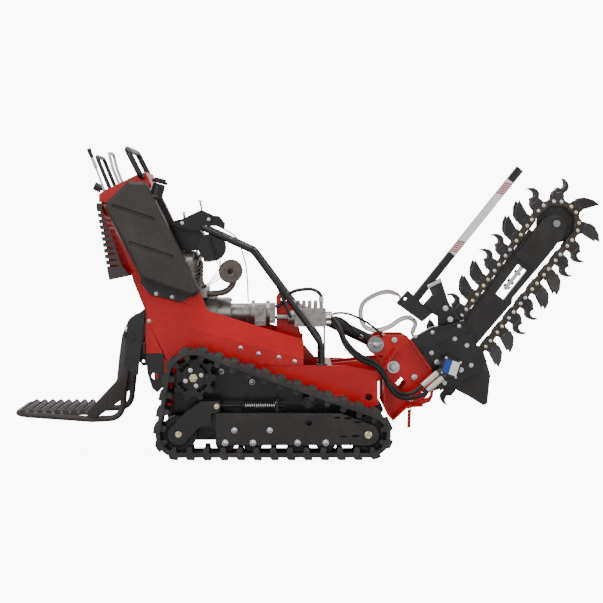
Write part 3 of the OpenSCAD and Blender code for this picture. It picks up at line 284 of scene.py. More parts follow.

# %% [markdown]
# Bare metal comes next: zinc plating with its faint clouding, polished chrome,
# cast aluminium with a sandy skin and patches of oil, heat-stained exhaust
# steel and the brown, oiled steel of the chain.

# %% Bare metal


def metal(name, colour, stain, roughness, grain=300, depth=0.3, spots=0.4, edge=0.0012,
          bright=None, metallic=1.0):
    """Bare or plated metal with patches of stain and bright edges."""
    finish = Finish(name, metallic=metallic)
    sharp, rounded = finish.edges(edge)
    cloud = finish.noise(14, 5, 0.65)
    fine = finish.noise(grain, 3, 0.6)
    dirt = cloud.ramp(0.48, 0.72) * spots
    base = finish.mix(dirt, colour, stain)
    base = finish.mix(sharp * 0.7, base, bright or colour)
    finish.surface(Base_Color=base, Roughness=roughness + fine * 0.14 + dirt * 0.25)
    finish.bump(fine, depth, 0.0006, rounded)
    FINISHES[name] = finish.material
    return finish


metal("zinc", (0.62, 0.63, 0.63), (0.4, 0.39, 0.37), 0.24, depth=0.12)
metal("dull_zinc", (0.27, 0.28, 0.29), (0.16, 0.16, 0.16), 0.34, depth=0.2)
metal("brass_plate", (0.72, 0.6, 0.36), (0.35, 0.27, 0.16), 0.26, depth=0.12)
metal("spring_steel", (0.58, 0.58, 0.57), (0.25, 0.24, 0.23), 0.25, depth=0.1)
metal("chrome_rod", (0.78, 0.78, 0.78), (0.6, 0.6, 0.6), 0.06, depth=0.02, spots=0.15)
metal("engine_metal", (0.34, 0.32, 0.3), (0.07, 0.055, 0.045), 0.3, grain=420, depth=0.6,
      spots=0.85, bright=(0.6, 0.58, 0.55), metallic=0.9)
metal("exhaust", (0.11, 0.088, 0.078), (0.05, 0.035, 0.03), 0.42, grain=260, depth=0.3,
      spots=0.8, bright=(0.2, 0.17, 0.15), metallic=0.6)
metal("chain_steel", (0.085, 0.064, 0.05), (0.03, 0.022, 0.018), 0.34, grain=240, depth=0.5,
      spots=0.8, bright=(0.26, 0.21, 0.17), metallic=0.75)
print("metals added:", len(FINISHES))

# %% [markdown]
# Moulded parts have a fine grain and no metal in them: the fuel tank's plastic,
# knobs, the rubber of belts and hoses, and the fabric sleeve on the hose ends.

# %% Plastic and rubber


def moulded(name, colour, light, roughness, grain=900, depth=0.35, dust=0.2, edge=0.002,
            dust_colour=(0.2, 0.18, 0.16)):
    """Plastic or rubber with a moulded grain, paler on its edges, under thin dust."""
    finish = Finish(name, Specular_IOR_Level=0.25)
    sharp, rounded = finish.edges(edge)
    cloud = finish.noise(7, 5, 0.6)
    fine = finish.noise(grain, 2, 0.7)
    film = cloud.ramp(0.42, 0.78) * (0.4 + 0.6 * finish.noise(90, 4)) * dust
    base = finish.mix(sharp * 0.6, colour, light)
    finish.surface(Base_Color=finish.mix(film, base, dust_colour),
                   Roughness=roughness + fine * 0.12 + film * 0.3)
    finish.bump(fine, depth, 0.0005, rounded)
    FINISHES[name] = finish.material
    return finish


moulded("tank_plastic", (0.032, 0.027, 0.025), (0.1, 0.085, 0.08), 0.42, grain=1400, dust=0.12)
moulded("knob_plastic", (0.014, 0.013, 0.013), (0.06, 0.055, 0.05), 0.32, dust=0.08)
moulded("track_rubber", (0.03, 0.028, 0.027), (0.075, 0.068, 0.062), 0.6, grain=500, depth=0.5,
        dust=0.55, dust_colour=(0.11, 0.1, 0.092))
moulded("hose_rubber", (0.014, 0.013, 0.013), (0.04, 0.037, 0.035), 0.34, grain=700, dust=0.15)
moulded("sleeve", (0.62, 0.58, 0.5), (0.7, 0.66, 0.58), 0.6, grain=420, depth=0.8, dust=0.25)
moulded("plain_label", (0.72, 0.72, 0.71), (0.8, 0.8, 0.8), 0.35, dust=0.1)
moulded("blue_label", (0.02, 0.06, 0.32), (0.05, 0.1, 0.4), 0.35, dust=0.05)
print("finishes:", len(FINISHES))

# %% Webbing
webbing = Finish("webbing", Sheen_Weight=0.2)
rib = webbing.node("TexWave", bands_direction="DIAGONAL",
                   named={"Vector": webbing.place, "Scale": 260.0, "Distortion": 0.4})
cross = webbing.node("TexWave", bands_direction="Y",
                     named={"Vector": webbing.place, "Scale": 190.0, "Distortion": 0.4})
weave = rib * 0.6 + cross * 0.4
soil = webbing.noise(22, 5, 0.6).ramp(0.45, 0.8) * 0.5
thread = webbing.mix(weave, (0.5, 0.45, 0.42), (0.74, 0.69, 0.66))
webbing.surface(Base_Color=webbing.mix(soil, thread, (0.4, 0.35, 0.31)),
                Roughness=0.7 + weave * 0.2)
webbing.bump(weave, 0.7, 0.0006)
FINISHES["webbing"] = webbing.material
print("webbing nodes:", len(webbing.tree.nodes))

# %% [markdown]
# The backdrop is a matt white that glows a little, so it stays clean and pale.
# Light linking keeps that glow off the machine, whose blacks would turn grey.

# %% Backdrop finish
paper = Finish("paper", Emission_Color=(1, 1, 1, 1), Emission_Strength=9.0)
paper.surface(Base_Color=paper.mix(paper.noise(0.6, 2), (0.1, 0.1, 0.1), (0.12, 0.12, 0.12)),
              Roughness=0.9 + paper.noise(3) * 0.05)
backdrop.data.materials.append(paper.material)
lit_by_backdrop = bpy.data.collections.new("lit_by_backdrop")
lit_by_backdrop.objects.link(backdrop)
backdrop.light_linking.receiver_collection = lit_by_backdrop
print("backdrop finish set")

# %% [markdown]
# New pieces are built in a bmesh, in layout millimetres turned into metres as
# they go in. Four small helpers cover most of them: a bar between two points,
# a slab cut to an outline, a spun profile, and a tube along a line.

# %% Shapes


def verts_of(found):
    return [g for g in found if isinstance(g, bmesh.types.BMVert)]


def soften(part, verts, width, segments=2):
    """Rounds the sharp edges between these verts."""
    chosen = set(verts)
    edges = [e for e in part.edges if e.verts[0] in chosen and e.verts[1] in chosen
             and e.is_manifold and e.calc_face_angle(0) > 0.6]
    bmesh.ops.bevel(part, geom=edges, offset=width * MM, segments=segments, profile=0.5,
                    affect="EDGES", material=-1, clamp_overlap=True)


def bar(part, a, b, radius, tip=None, sides=20, edge=0.0):
    """A round bar, or a cone, between two layout points."""
    a, b = at(*a), at(*b)
    turn = (b - a).to_track_quat("Z", "Y").to_matrix().to_4x4()
    made = bmesh.ops.create_cone(part, cap_ends=True, segments=sides, radius1=radius * MM,
                                 radius2=(radius if tip is None else tip) * MM,
                                 depth=(b - a).length,
                                 matrix=Matrix.Translation((a + b) / 2) @ turn)["verts"]
    if edge:
        soften(part, made, edge)
    return made


def slab(part, outline, y0, y1, edge=0.0, segments=2):
    """A plate across Y with the outline's (x, z) corners."""
    rim = [part.verts.new(at(x, y0, z)) for x, z in outline]
    face = part.faces.new(rim)
    grown = verts_of(bmesh.ops.extrude_face_region(part, geom=[face], use_keep_orig=True)["geom"])
    bmesh.ops.translate(part, verts=grown, vec=(0, (y1 - y0) * MM, 0))
    if edge:
        soften(part, rim + grown, edge, segments)
    return rim + grown


def spun(part, profile, centre, axis=(0, 1, 0), sides=32):
    """A profile of (radius, height) points spun once round an axis through centre."""
    turn = Vector(axis).to_track_quat("Z", "Y").to_matrix().to_4x4()
    place = Matrix.Translation(at(*centre)) @ turn
    line = [part.verts.new(place @ Vector((r * MM, 0, h * MM))) for r, h in profile]
    edges = [part.edges.new(pair) for pair in zip(line, line[1:])]
    bmesh.ops.spin(part, geom=line + edges, cent=at(*centre), axis=Vector(axis).normalized(),
                   angle=math.tau, steps=sides, use_merge=True, use_duplicate=False)


def rounded(points, radius, steps=6):
    """A line of layout points with each inner corner turned into an arc."""
    points = [Vector(p) for p in points]
    line = [points[0]]
    for a, b, c in zip(points, points[1:], points[2:]):
        u, v = (a - b).normalized(), (c - b).normalized()
        half = u.angle(v) / 2
        cut = min(radius / math.tan(half), (a - b).length * 0.49, (c - b).length * 0.49)
        middle = b + (u + v).normalized() * cut / math.cos(half)
        p, q = b + u * cut - middle, b + v * cut - middle
        line += [middle + p.slerp(q, k / steps) * p.length for k in range(steps + 1)]
    return line + [points[-1]]


def tube(part, points, radius, curved=True, sides=4, cyclic=False):
    """A round tube along layout points, on a smooth curve or from point to point."""
    data = bpy.data.curves.new("line", "CURVE")
    data.dimensions, data.bevel_depth, data.bevel_resolution = "3D", radius * MM, sides
    data.resolution_u, data.use_fill_caps = 5, not cyclic
    spline = data.splines.new("BEZIER" if curved else "POLY")
    knots = spline.bezier_points if curved else spline.points
    knots.add(len(points) - 1)
    for knot, point in zip(knots, points):
        knot.co = at(*point) if curved else (*at(*point), 1)
        if curved:
            knot.handle_left_type = knot.handle_right_type = "AUTO"
    spline.use_cyclic_u = cyclic
    drawn = bpy.data.objects.new("line", data)
    bpy.context.scene.collection.objects.link(drawn)
    mesh = bpy.data.meshes.new_from_object(
        drawn.evaluated_get(bpy.context.evaluated_depsgraph_get()))
    bpy.data.objects.remove(drawn)
    part.from_mesh(mesh)
    bpy.data.meshes.remove(mesh)


def hoop(half):
    """A line down the right side, with its mirror image as the way back on the left."""
    return half + [(x, -y, z) for x, y, z in reversed(half)]


def mirrored(part):
    """Adds the part's own mirror image across the middle plane."""
    bmesh.ops.mirror(part, geom=part.verts[:] + part.edges[:] + part.faces[:], axis="Y",
                     merge_dist=-1)


def show(name, part, finish, body, stands_for=(), angle=38, crossing=None):
    """Makes a shown piece of a bmesh: clean, smooth, in its finish and on its body."""
    bmesh.ops.remove_doubles(part, verts=part.verts, dist=1e-6)
    bmesh.ops.recalc_face_normals(part, faces=part.faces)
    mesh = bpy.data.meshes.new(name)
    part.to_mesh(mesh)
    part.free()
    mesh.shade_smooth()
    mesh.set_sharp_from_angle(angle=math.radians(angle))
    mesh.materials.append(FINISHES[finish])
    piece = bpy.data.objects.new(name, mesh)
    bpy.context.scene.collection.objects.link(piece)
    if crossing:
        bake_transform(piece)
    else:
        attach(piece, body)
    if stands_for:
        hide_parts(*stands_for)
    print(f"{name}: {len(mesh.polygons)} faces")
    return piece


def kept_mesh(name, part):
    """Turns a bmesh into a mesh that is stamped many times."""
    mesh = bpy.data.meshes.new(name)
    part.to_mesh(mesh)
    part.free()
    return mesh


def stamp(part, mesh, matrix):
    """Adds a copy of mesh, moved by matrix."""
    count = len(part.verts)
    part.from_mesh(mesh)
    part.verts.ensure_lookup_table()
    bmesh.ops.transform(part, matrix=matrix, verts=part.verts[count:])


SIDES = {"right": -1, "left": 1}
print("helpers ready")

# %% [markdown]
# A rubber track is one endless moulding. The easiest way to model it is flat:
# one pitch of belt, with a chevron bar outside and two drive lugs inside, is
# cut from a box, its faces pulled out, and copied along. Then every point is
# carried from the flat strip onto the loop round the sprocket and idlers.

# %% The loop that a belt or chain runs on


class Loop:
    """A taut line round circles (x, z, radius), walked anticlockwise."""

    def __init__(self, circles):
        count = len(circles)
        self.legs, normals, runs = [], [], []
        for k in range(count):
            (ax, az, ar), (bx, bz, br) = circles[k], circles[(k + 1) % count]
            gap = math.hypot(bx - ax, bz - az)
            normals.append(math.atan2(bz - az, bx - ax) - math.acos((ar - br) / gap))
            runs.append(math.sqrt(gap * gap - (ar - br) ** 2))
        for k in range(count):
            turn = (normals[(k + 1) % count] - normals[k]) % math.tau
            self.legs.append((circles[k], circles[(k + 1) % count], normals[k], runs[k], turn))
        self.length = sum(run + turn * b[2] for _, b, _, run, turn in self.legs)

    def point(self, s, off=0.0):
        """(x, z, outward angle) at distance s along the loop, off outside it."""
        s %= self.length
        for a, b, normal, run, turn in self.legs:
            if s <= run + turn * b[2]:
                break
            s -= run + turn * b[2]
        if s <= run:
            n, share = normal, s / run
            x, z, radius = (p + (q - p) * share for p, q in zip(a, b))
        else:
            n = normal + (s - run) / b[2]
            x, z, radius = b
        return x + (radius + off) * math.cos(n), z + (radius + off) * math.sin(n), n


BELT_THICK, TREAD_HIGH, LUG_HIGH, TREADS = 18, 12, 24, 34
SPROCKET, REAR_IDLER, FRONT_IDLER = (-419, 354), (-484, 109), (338, 109)
belt_loop = Loop([(*SPROCKET, 111), (*REAR_IDLER, 88), (*FRONT_IDLER, 88)])
pitch = belt_loop.length / TREADS
print("belt", round(belt_loop.length), "mm, pitch", round(pitch, 1), "mm")

# %% One flat pitch of belt
HALF = 90


def belt_pitch():
    """One pitch of belt, flat: x along it, y across it, z out of it, in millimetres."""
    part = bmesh.new()
    bmesh.ops.create_cube(part, size=1, matrix=Matrix.Translation((pitch / 2, 0, 0))
                          @ Matrix.Diagonal((pitch, 2 * HALF, BELT_THICK, 1)))
    cuts = [(s * pitch, 0, 0, (1, 0, 0)) for s in (0.06, 0.2, 0.34, 0.48, 0.6, 0.8)]
    cuts += [(0, y, 0, (0, 1, 0)) for y in (-82, -50, -14, 0, 14, 50, 82)]
    for x, y, z, normal in cuts:
        bmesh.ops.bisect_plane(part, geom=part.verts[:] + part.edges[:] + part.faces[:],
                               dist=1e-5, plane_co=(x, y, z), plane_no=normal)
    bmesh.ops.delete(part, geom=[f for f in part.faces if abs(f.normal.x) > 0.9],
                     context="FACES_ONLY")

    def pull(chosen, height, shrink_x, shrink_y):
        faces = [f for f in part.faces if chosen(f.calc_center_median(), f.normal)]
        middle = sum((f.calc_center_median() for f in faces), Vector()) / len(faces)
        grown = verts_of(bmesh.ops.extrude_face_region(part, geom=faces)["geom"])
        bmesh.ops.translate(part, verts=grown, vec=(0, 0, height))
        bmesh.ops.scale(part, verts=grown, vec=(shrink_x, shrink_y, 1),
                        space=Matrix.Translation(-middle))
        soften_flat(part, grown)

    def soften_flat(part, verts):
        chosen = set(verts)
        rim = [e for e in part.edges if all(v in chosen for v in e.verts)
               and e.is_manifold and e.calc_face_angle(0) > 0.5]
        bmesh.ops.bevel(part, geom=rim, offset=1.8, segments=1, profile=0.5,
                        affect="EDGES", material=-1, clamp_overlap=True)

    for side in (-1, 1):
        pull(lambda c, n: n.z > 0.9 and 14 < side * c.y and 0.06 < c.x / pitch < 0.6
             and c.z > 8, TREAD_HIGH, 0.78, 0.95)
        pull(lambda c, n: n.z < -0.9 and 50 < side * c.y < 82 and 0.06 < c.x / pitch < 0.48
             and c.z < -8, -LUG_HIGH, 0.62, 0.82)
    pull(lambda c, n: n.z > 0.9 and abs(c.y) < 14 and 0.2 < c.x / pitch < 0.48 and c.z > 8,
         TREAD_HIGH * 0.6, 0.8, 0.8)
    # the outer end of each bar leans forward, which gives the tread its chevron
    for v in part.verts:
        if v.co.z > BELT_THICK / 2 + 1:
            v.co.x += (abs(v.co.y) - 50) * 0.1
    return part


# %% Belts round the loop
flat_pitch = kept_mesh("flat_pitch", belt_pitch())
strip = bmesh.new()
for k in range(TREADS):
    stamp(strip, flat_pitch, Matrix.Translation((k * pitch, 0, 0)))
flat_strip = kept_mesh("flat_strip", strip)
for side, sign in SIDES.items():
    belt = bmesh.new()
    belt.from_mesh(flat_strip)
    for v in belt.verts:
        x, z, _ = belt_loop.point(v.co.x, v.co.z)
        v.co = at(x, sign * 348 + v.co.y, max(z, 0.2))
    show(f"rubber_track_{side}", belt, "track_rubber", "chassis",
         [f"track_belt_{side}"], angle=30)

# %% [markdown]
# The tension spring is a real coil: a small circle spun round the rod while it
# moves along it. The real spring shortens a little when the idler is pushed
# back; this one keeps its length.

# %% Tension springs
COILS, SPRING_LENGTH = 14, 137.2
for side, sign in SIDES.items():
    coil = bmesh.new()
    start = at(-197.6, sign * 374, 231)
    ring = bmesh.ops.create_circle(coil, segments=8, radius=2.7 * MM, matrix=Matrix.Translation(
        start + Vector((0.0027, 0, 0.0122))) @ Matrix.Rotation(math.pi / 2, 4, "X"))["verts"]
    edges = list({e for v in ring for e in v.link_edges})
    bmesh.ops.spin(coil, geom=ring + edges, cent=start, axis=(1, 0, 0),
                   dvec=((SPRING_LENGTH - 5.6) * MM / (COILS * 14), 0, 0),
                   angle=COILS * math.tau, steps=COILS * 14, use_merge=False,
                   use_duplicate=False)
    bmesh.ops.holes_fill(coil, edges=coil.edges, sides=8)
    spring = show(f"spring_coil_{side}", coil, "spring_steel", "chassis",
                  [f"tension_spring_{side}"])
    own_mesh(spring)

# %% [markdown]
# Bolts are what the eye looks for on plain plate. Each is a washer with a
# shallow dome, or a six-sided head, sized for the hole it closes.

# %% Bolts
CARRIAGE = [(0, 8.5), (5, 8), (9, 5.8), (11, 3), (11.4, 2.6), (14, 2.4), (14, 0.3), (0, 0.3)]


def dome_bolt(part, x, y, z, radius, face):
    """A round-headed bolt on a washer; face is the side that it stands out on."""
    spun(part, [(r * radius / 14, h * radius / 14) for r, h in CARRIAGE], (x, y, z),
         (0, face, 0), 24)


def hex_bolt(part, x, y, z, radius, face, high=None):
    """A six-sided head on a washer, with its corners turned down."""
    high = high or radius * 0.62
    spun(part, [(0, 2), (radius * 1.28, 2), (radius * 1.28, 0.2), (0, 0.2)], (x, y, z),
         (0, face, 0), 24)
    made = bar(part, (x, y + face * 1.8, z), (x, y + face * high, z), radius, sides=6)
    soften(part, made, radius * 0.1)


studs = bmesh.new()
ROLLERS = [-281, -161, 32, 154]
for sign in SIDES.values():
    for x in ROLLERS:
        dome_bolt(studs, x, sign * 425, 75, 14, sign)
    for x in (-241, -88):
        dome_bolt(studs, x, sign * 425, 129, 13, sign)
    for x, z in ((-304, 368), (-168, 322)):
        dome_bolt(studs, x, sign * 250, z, 12, sign)
    for x, z in ((-220, 470), (-140, 444), (-50, 428), (20, 410)):
        dome_bolt(studs, x, sign * 217.5, z, 10, sign)
    hex_bolt(studs, -720, sign * 239, 555, 9, sign)
show("plate_studs", studs, "zinc", "chassis", stands_for=["frame_bolts"])

axle_ends = bmesh.new()
for sign in SIDES.values():
    spun(axle_ends, [(0, 6), (7, 6), (8, 5), (12, 9), (16, 7), (17, 0.3), (0, 0.3)],
         (FRONT_IDLER[0], sign * 425, FRONT_IDLER[1]), (0, sign, 0))
show("axle_ends", axle_ends, "brass_plate", "chassis")

# %% Hub bolts on the turning wheels
for side, sign in SIDES.items():
    hub = bmesh.new()
    face = face_of(f"drive_sprocket_{side}")
    for k in range(4):
        angle = math.radians(20 + 90 * k)
        hex_bolt(hub, SPROCKET[0] + 36 * math.cos(angle), sign * face,
                 SPROCKET[1] + 36 * math.sin(angle), 7.5, sign)
    show(f"hub_bolts_{side}", hub, "zinc", f"drive_wheel_{side}")
    nut = bmesh.new()
    spun(nut, [(0, 10), (11, 10), (13, 8.5), (13.5, 2.4), (19, 2), (19, 0.2), (0, 0.2)],
         (SPROCKET[0], sign * face, SPROCKET[1]), (0, sign, 0), 6)
    show(f"hub_nut_{side}", nut, "brass_plate", f"drive_wheel_{side}")
    end = bmesh.new()
    face = face_of(f"idler_arm_{side}")
    spun(end, [(0, 5), (5, 5), (6, 4), (10, 7), (14, 5), (15, 0.2), (0, 0.2)],
         (REAR_IDLER[0], sign * face, REAR_IDLER[1]), (0, sign, 0))
    hex_bolt(end, -318, sign * face, 231, 9, sign)
    show(f"idler_end_{side}", end, "brass_plate", f"idler_carriage_{side}")

# %% [markdown]
# The digging chain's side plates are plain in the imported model. Each pin gets
# a peened head, and the cutting teeth are made again from flame-cut plate:
# hooks that rip the ground in the middle, and blades bent outwards that clear
# the sides of the trench. They alternate in the order that such a chain uses.

# %% Chain pins
HEAD, BOOM_ANGLE = (718, 378), math.radians(52.6)
CHAIN_PITCH, LINKS, NOSE_R = 42, 52, 100
CHAIN_R = CHAIN_PITCH * 12 / math.tau
BOOM_LENGTH = (LINKS * CHAIN_PITCH - math.pi * (CHAIN_R + NOSE_R)) / 2


def on_boom(u, v):
    """Layout (x, z) of a point u along the boom from the head shaft and v across it."""
    c, s = math.cos(BOOM_ANGLE), math.sin(BOOM_ANGLE)
    return HEAD[0] + u * c - v * s, HEAD[1] + u * s + v * c


chain_loop = Loop([(*HEAD, CHAIN_R), (*on_boom(BOOM_LENGTH, 0), NOSE_R)])
step = chain_loop.length / LINKS
pins = [chain_loop.point(k * step)[:2] for k in range(LINKS)]
heads = bmesh.new()
for k, (x, z) in enumerate(pins):
    for face in (-1, 1):
        spun(heads, [(0, 3.6), (3.4, 3.2), (6.6, 1.6), (7, 0.1), (0, 0.1)],
             (x, face * 30, z), (0, face, 0), 10)
show("chain_pin_heads", heads, "brass_plate", "boom")

# %% Cutting teeth
HOOK = [(-4, 33), (-9, 44), (-24, 56), (-27, 74), (-21, 92), (-8, 105), (3, 110), (-6, 96),
        (-9, 82), (-5, 69), (2, 62), (10, 62), (22, 68), (30, 56), (44, 46), (44, 33)]
BASE = [(-6, -12), (-8, 30), (-4, 42), (40, 44), (48, 34), (48, -10), (40, -15), (2, -15)]
BLADE = [(-4, 33), (-14, 52), (-34, 104), (0, 96), (34, 74), (46, 50), (44, 33)]
HOOK_WEB = [(-4, 34), (-22, 58), (-24, 72), (-14, 70), (-4, 58), (10, 52), (40, 44), (44, 34)]
BLADE_WEB = [(0, 34), (-4, 46), (38, 46), (42, 34)]


def tooth(hook):
    """A pair of cutters on one link: x along the link, z out of it, zero at its pin."""
    part = bmesh.new()
    for sign in (-1, 1):
        slab(part, BASE, sign * 30.5, sign * 37, 0.8, 1)
        if hook:
            slab(part, HOOK, sign * 12, sign * 36, 1.6, 1)
        else:
            for v in slab(part, BLADE, sign * 31, sign * 38):
                v.co.y += sign * max(0, v.co.z - 50 * MM) * 0.42
    slab(part, HOOK_WEB if hook else BLADE_WEB, -12 if hook else -31, 12 if hook else 31)
    return kept_mesh("hook_pair" if hook else "blade_pair", part)


cutters = [tooth(True), tooth(False)]
rivet = bmesh.new()
for sign in (-1, 1):
    for x in (4, 38):
        spun(rivet, [(0, 6.5), (5, 6), (8.5, 3), (9, 0.1), (0, 0.1)], (x, sign * 37, 2),
             (0, sign, 0), 12)
rivets = kept_mesh("tooth_rivets", rivet)
teeth, bright_bolts, gold_bolts = bmesh.new(), bmesh.new(), bmesh.new()
for k in range(0, LINKS, 2):
    (ax, az), (bx, bz) = pins[k], pins[(k + 1) % LINKS]
    place = Matrix.Translation(at(ax, 0, az)) @ Matrix.Rotation(
        -math.atan2(bz - az, bx - ax), 4, "Y") @ Matrix.Diagonal(
        (1, 1, -1, 1)) @ Matrix.Translation(-at(0, 0, 0))
    stamp(teeth, cutters[(k // 4) % 2], place)
    stamp(bright_bolts if k % 8 < 4 else gold_bolts, rivets, place)
show("cutting_teeth", teeth, "tooth_steel", "boom", stands_for=["digging_teeth"], angle=30)
show("bright_tooth_bolts", bright_bolts, "zinc", "boom")
show("gold_tooth_bolts", gold_bolts, "brass_plate", "boom")

# %% [markdown]
# The operator's step folds up on two arms. Its deck is a row of folded planks
# whose ends make a saw-tooth along the near side, with small raised points for
# grip, held in a bent tube.

# %% Platform
ARM = [(-700, 600), (-716, 596), (-745, 526), (-758, 432), (-769, 328), (-866, 224), (-911, 174),
       (-862, 158), (-735, 250), (-718, 359), (-676, 520)]
HINGE = (-701.5, 523.6)
step_part = bmesh.new()
tube(step_part, rounded(hoop([(-722, -210, 440), (-728, -210, 360), (-750, -210, 158),
                              (-880, -210, 152), (-1215, -210, 176)]), 60), 14, curved=False)
for sign in SIDES.values():
    slab(step_part, ARM, sign * 220.4, sign * 230, 1.6)
    spun(step_part, [(12.2, 0), (30, 0), (30, 8.4), (28.6, 9.8), (12.2, 9.8), (12.2, 0)],
         (HINGE[0], sign * 220.2, HINGE[1]), (0, sign, 0))
for k in range(9):
    x = -1200 + k * 37.4
    slab(step_part, [(x, 170), (x, 190), (x + 3, 194), (x + 20, 194), (x + 29, 179), (x + 37, 179),
                     (x + 37, 170)], -208, 208, 0.8, 1)
    for row in range(17):
        bar(step_part, (x + 11, -192 + row * 24, 193.6), (x + 11, -192 + row * 24, 199), 6.5, 2.5,
            sides=4)
show("folding_step", step_part, "platform_grey", "step", stands_for=["platform"])

# %% [markdown]
# Bent tubes are drawn as a line with rounded corners and given a round section,
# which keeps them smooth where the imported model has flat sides.

# %% Handlebar, grip bar and guards
bars = bmesh.new()
tube(bars, rounded(hoop([(-656, -203.6, 1230), (-656, -257, 1230), (-716, -257, 1349)]), 30),
     13, curved=False, sides=6)
tube(bars, rounded(hoop([(-804, -135, 1177), (-862, -135, 1320)]), 26), 9, curved=False, sides=5)
show("operator_bars", bars, "black_paint", "chassis", stands_for=["handlebar"])

guards = bmesh.new()
for y in (-189, 189):
    tube(guards, rounded([(-392, y, 1004), (-165, y, 900), (72, y, 580), (140, y, 480),
                          (140, y, 391.5)], 60), 13, curved=False, sides=6)
    spun(guards, [(0, 6), (24, 6), (26, 4), (26, 0.3), (0, 0.3)], (140, y, 391), (0, 0, 1), 24)
for a, b in (((140, -189, 430), (140, 189, 430)), ((-165, -189, 896), (-165, 189, 896))):
    bar(guards, a, b, 9)
bar(guards, (-58, -189, 755), (2, -189, 606), 8)
bar(guards, (2, -189, 606), (2, -135.2, 602), 6)
show("engine_guard_tubes", guards, "black_paint", "chassis", stands_for=["engine_guard"])

loop = bmesh.new()
tube(loop, rounded(hoop([(-760, -95, 1142), (-768, -95, 1200), (-796, -95, 1270),
                         (-812, -95, 1338)]), 20), 7, curved=False, sides=5)
for y in (-95, 95):
    spun(loop, [(6.1, -8), (11, -8), (12, -7), (12, 7), (11, 8), (6.1, 8), (6.1, -8)],
         (-760, y, 1142))
show("travel_loop", loop, "zinc", "drive_control", stands_for=["travel_lever"])
grips = bmesh.new()
spun(grips, [(0, -2), (7, -2), (8, 0), (7.4, 30), (8.6, 60), (10.5, 84), (8, 90), (0, 91)],
     (-861.8, -172, 1269.4), Vector((-31.2, 0, 82.6)).normalized(), 20)
show("throttle_grip", grips, "knob_plastic", "throttle")

# %% [markdown]
# Hoses follow smooth curves through the points of the imported model's own. Two
# thick pressure hoses run from the valve to the digging motor. The machine's
# head tilts on its pivot; a hose that crosses it is baked in place and is put
# on neither body.

# %% Hoses
FITTINGS = [((682, -176, 334), (628, -187, 290)), ((660, -176, 356), (606, -187, 312))]


def along(a, b, distance):
    """A point past b on the line from a."""
    a, b = Vector(a), Vector(b)
    return tuple(b + (b - a).normalized() * distance)


def pressure_hose(k):
    start, end = FITTINGS[k]
    return [(160.6, -143, 576 + k * 24), (172, -143, 576 + k * 24), (184, -143, 576 + k * 24),
            (214, -178, 550 + k * 22), (250, -229, 474 + k * 22), (310, -229, 420 + k * 18),
            (376, -229, 388 + k * 18), (412, -214, 350 + k * 18), (440, -198, 296 + k * 16),
            (486, -198, 250 + k * 20), (536, -198, 244 + k * 20), along(start, end, 48),
            along(start, end, 24), along(start, end, 0.5)]


long_hoses = bmesh.new()
for k in (0, 1):
    tube(long_hoses, pressure_hose(k), 9.2, sides=5)
show("pressure_hoses", long_hoses, "hose_rubber", "boom", stands_for=["head_hoses"],
     crossing=("chassis", "boom", at(250, -229, 474), at(500, -198, 250)))
thin = bmesh.new()
tube(thin, [(190.9, -105, 600), (206, -105, 600), (250, -100, 580), (290, -89, 538)], 5)
show("cylinder_hose_rear", thin, "hose_rubber", "boom",
     crossing=("chassis", "boom", at(200, -105, 600), at(290, -89, 538)))
thin = bmesh.new()
tube(thin, [(290, -89, 538), (306, -84, 520), (323.2, -58, 507.2), (323.2, -39.9, 507.2)], 5)
show("cylinder_hose_front", thin, "hose_rubber", "boom",
     crossing=("boom", "barrel", at(296, -87, 530), at(322, -62, 508)))
thin = bmesh.new()
tube(thin, [(188, -112, 612), (206, -113, 618), (250, -118, 618), (310, -122, 596),
            (370, -122, 560), (404, -114, 528), (414, -106, 512)], 5)
show("tower_hose", thin, "hose_rubber", "boom",
     crossing=("chassis", "boom", at(206, -113, 618), at(386, -118, 545)))
short = bmesh.new()
tube(short, [(-66, -54, 644), (-48, -54, 650), (-10, -66, 700), (60, -80, 724),
             (122, -104, 716), (140, -105, 692), (140, -105, 669)], 8)
tube(short, [(-66, -52, 596), (-52, -56, 596), (-30, -100, 600), (-20, -105, 600),
             (-10.4, -105, 600)], 7)
show("pump_hoses", short, "hose_rubber", "chassis", stands_for=["chassis_hoses"])

# %% Hose fittings and sleeves
collars = bmesh.new()
for k in (0, 1):
    start, end = FITTINGS[k]
    spun(collars, [(9.3, -16), (12.5, -16), (13, -14), (13, 14), (12.5, 16), (9.3, 16), (9.3, -16)],
         along(start, end, 6), (Vector(end) - Vector(start)).normalized(), 20)
    spun(collars, [(9.3, 0), (12, 0), (12, 22), (9.3, 22), (9.3, 0)], (161, -143, 576 + k * 24),
         (1, 0, 0), 6)
spun(collars, [(8.2, -14), (11, -14), (11, 8), (8.2, 8), (8.2, -14)], (140, -105, 684),
     (0, 0, 1), 6)
show("hose_collars", collars, "zinc", "chassis",
     crossing=("chassis", "boom", at(250, -229, 474), at(500, -198, 250)))
sleeves = bmesh.new()
for start, end in FITTINGS:
    a, b = Vector(start), Vector(end)
    spun(sleeves, [(0, 0)] + [(12.4 + 0.7 * (n % 2), 2 + n * 5) for n in range(13)] + [(0, 66)],
         start, (b - a).normalized(), 24)
show("motor_sleeves", sleeves, "sleeve", "boom")

# %% [markdown]
# The motor's end carries a plain two-coloured plate, and the safety bar a white
# band with slanting red stripes at its two ends and a bright clamp at its foot.

# %% Motor plate
def tilted(outline, degrees):
    """An outline round the head shaft, turned with the motor."""
    c, s = math.cos(math.radians(degrees)), math.sin(math.radians(degrees))
    return [(HEAD[0] + x * c + z * s, HEAD[1] - x * s + z * c) for x, z in outline]


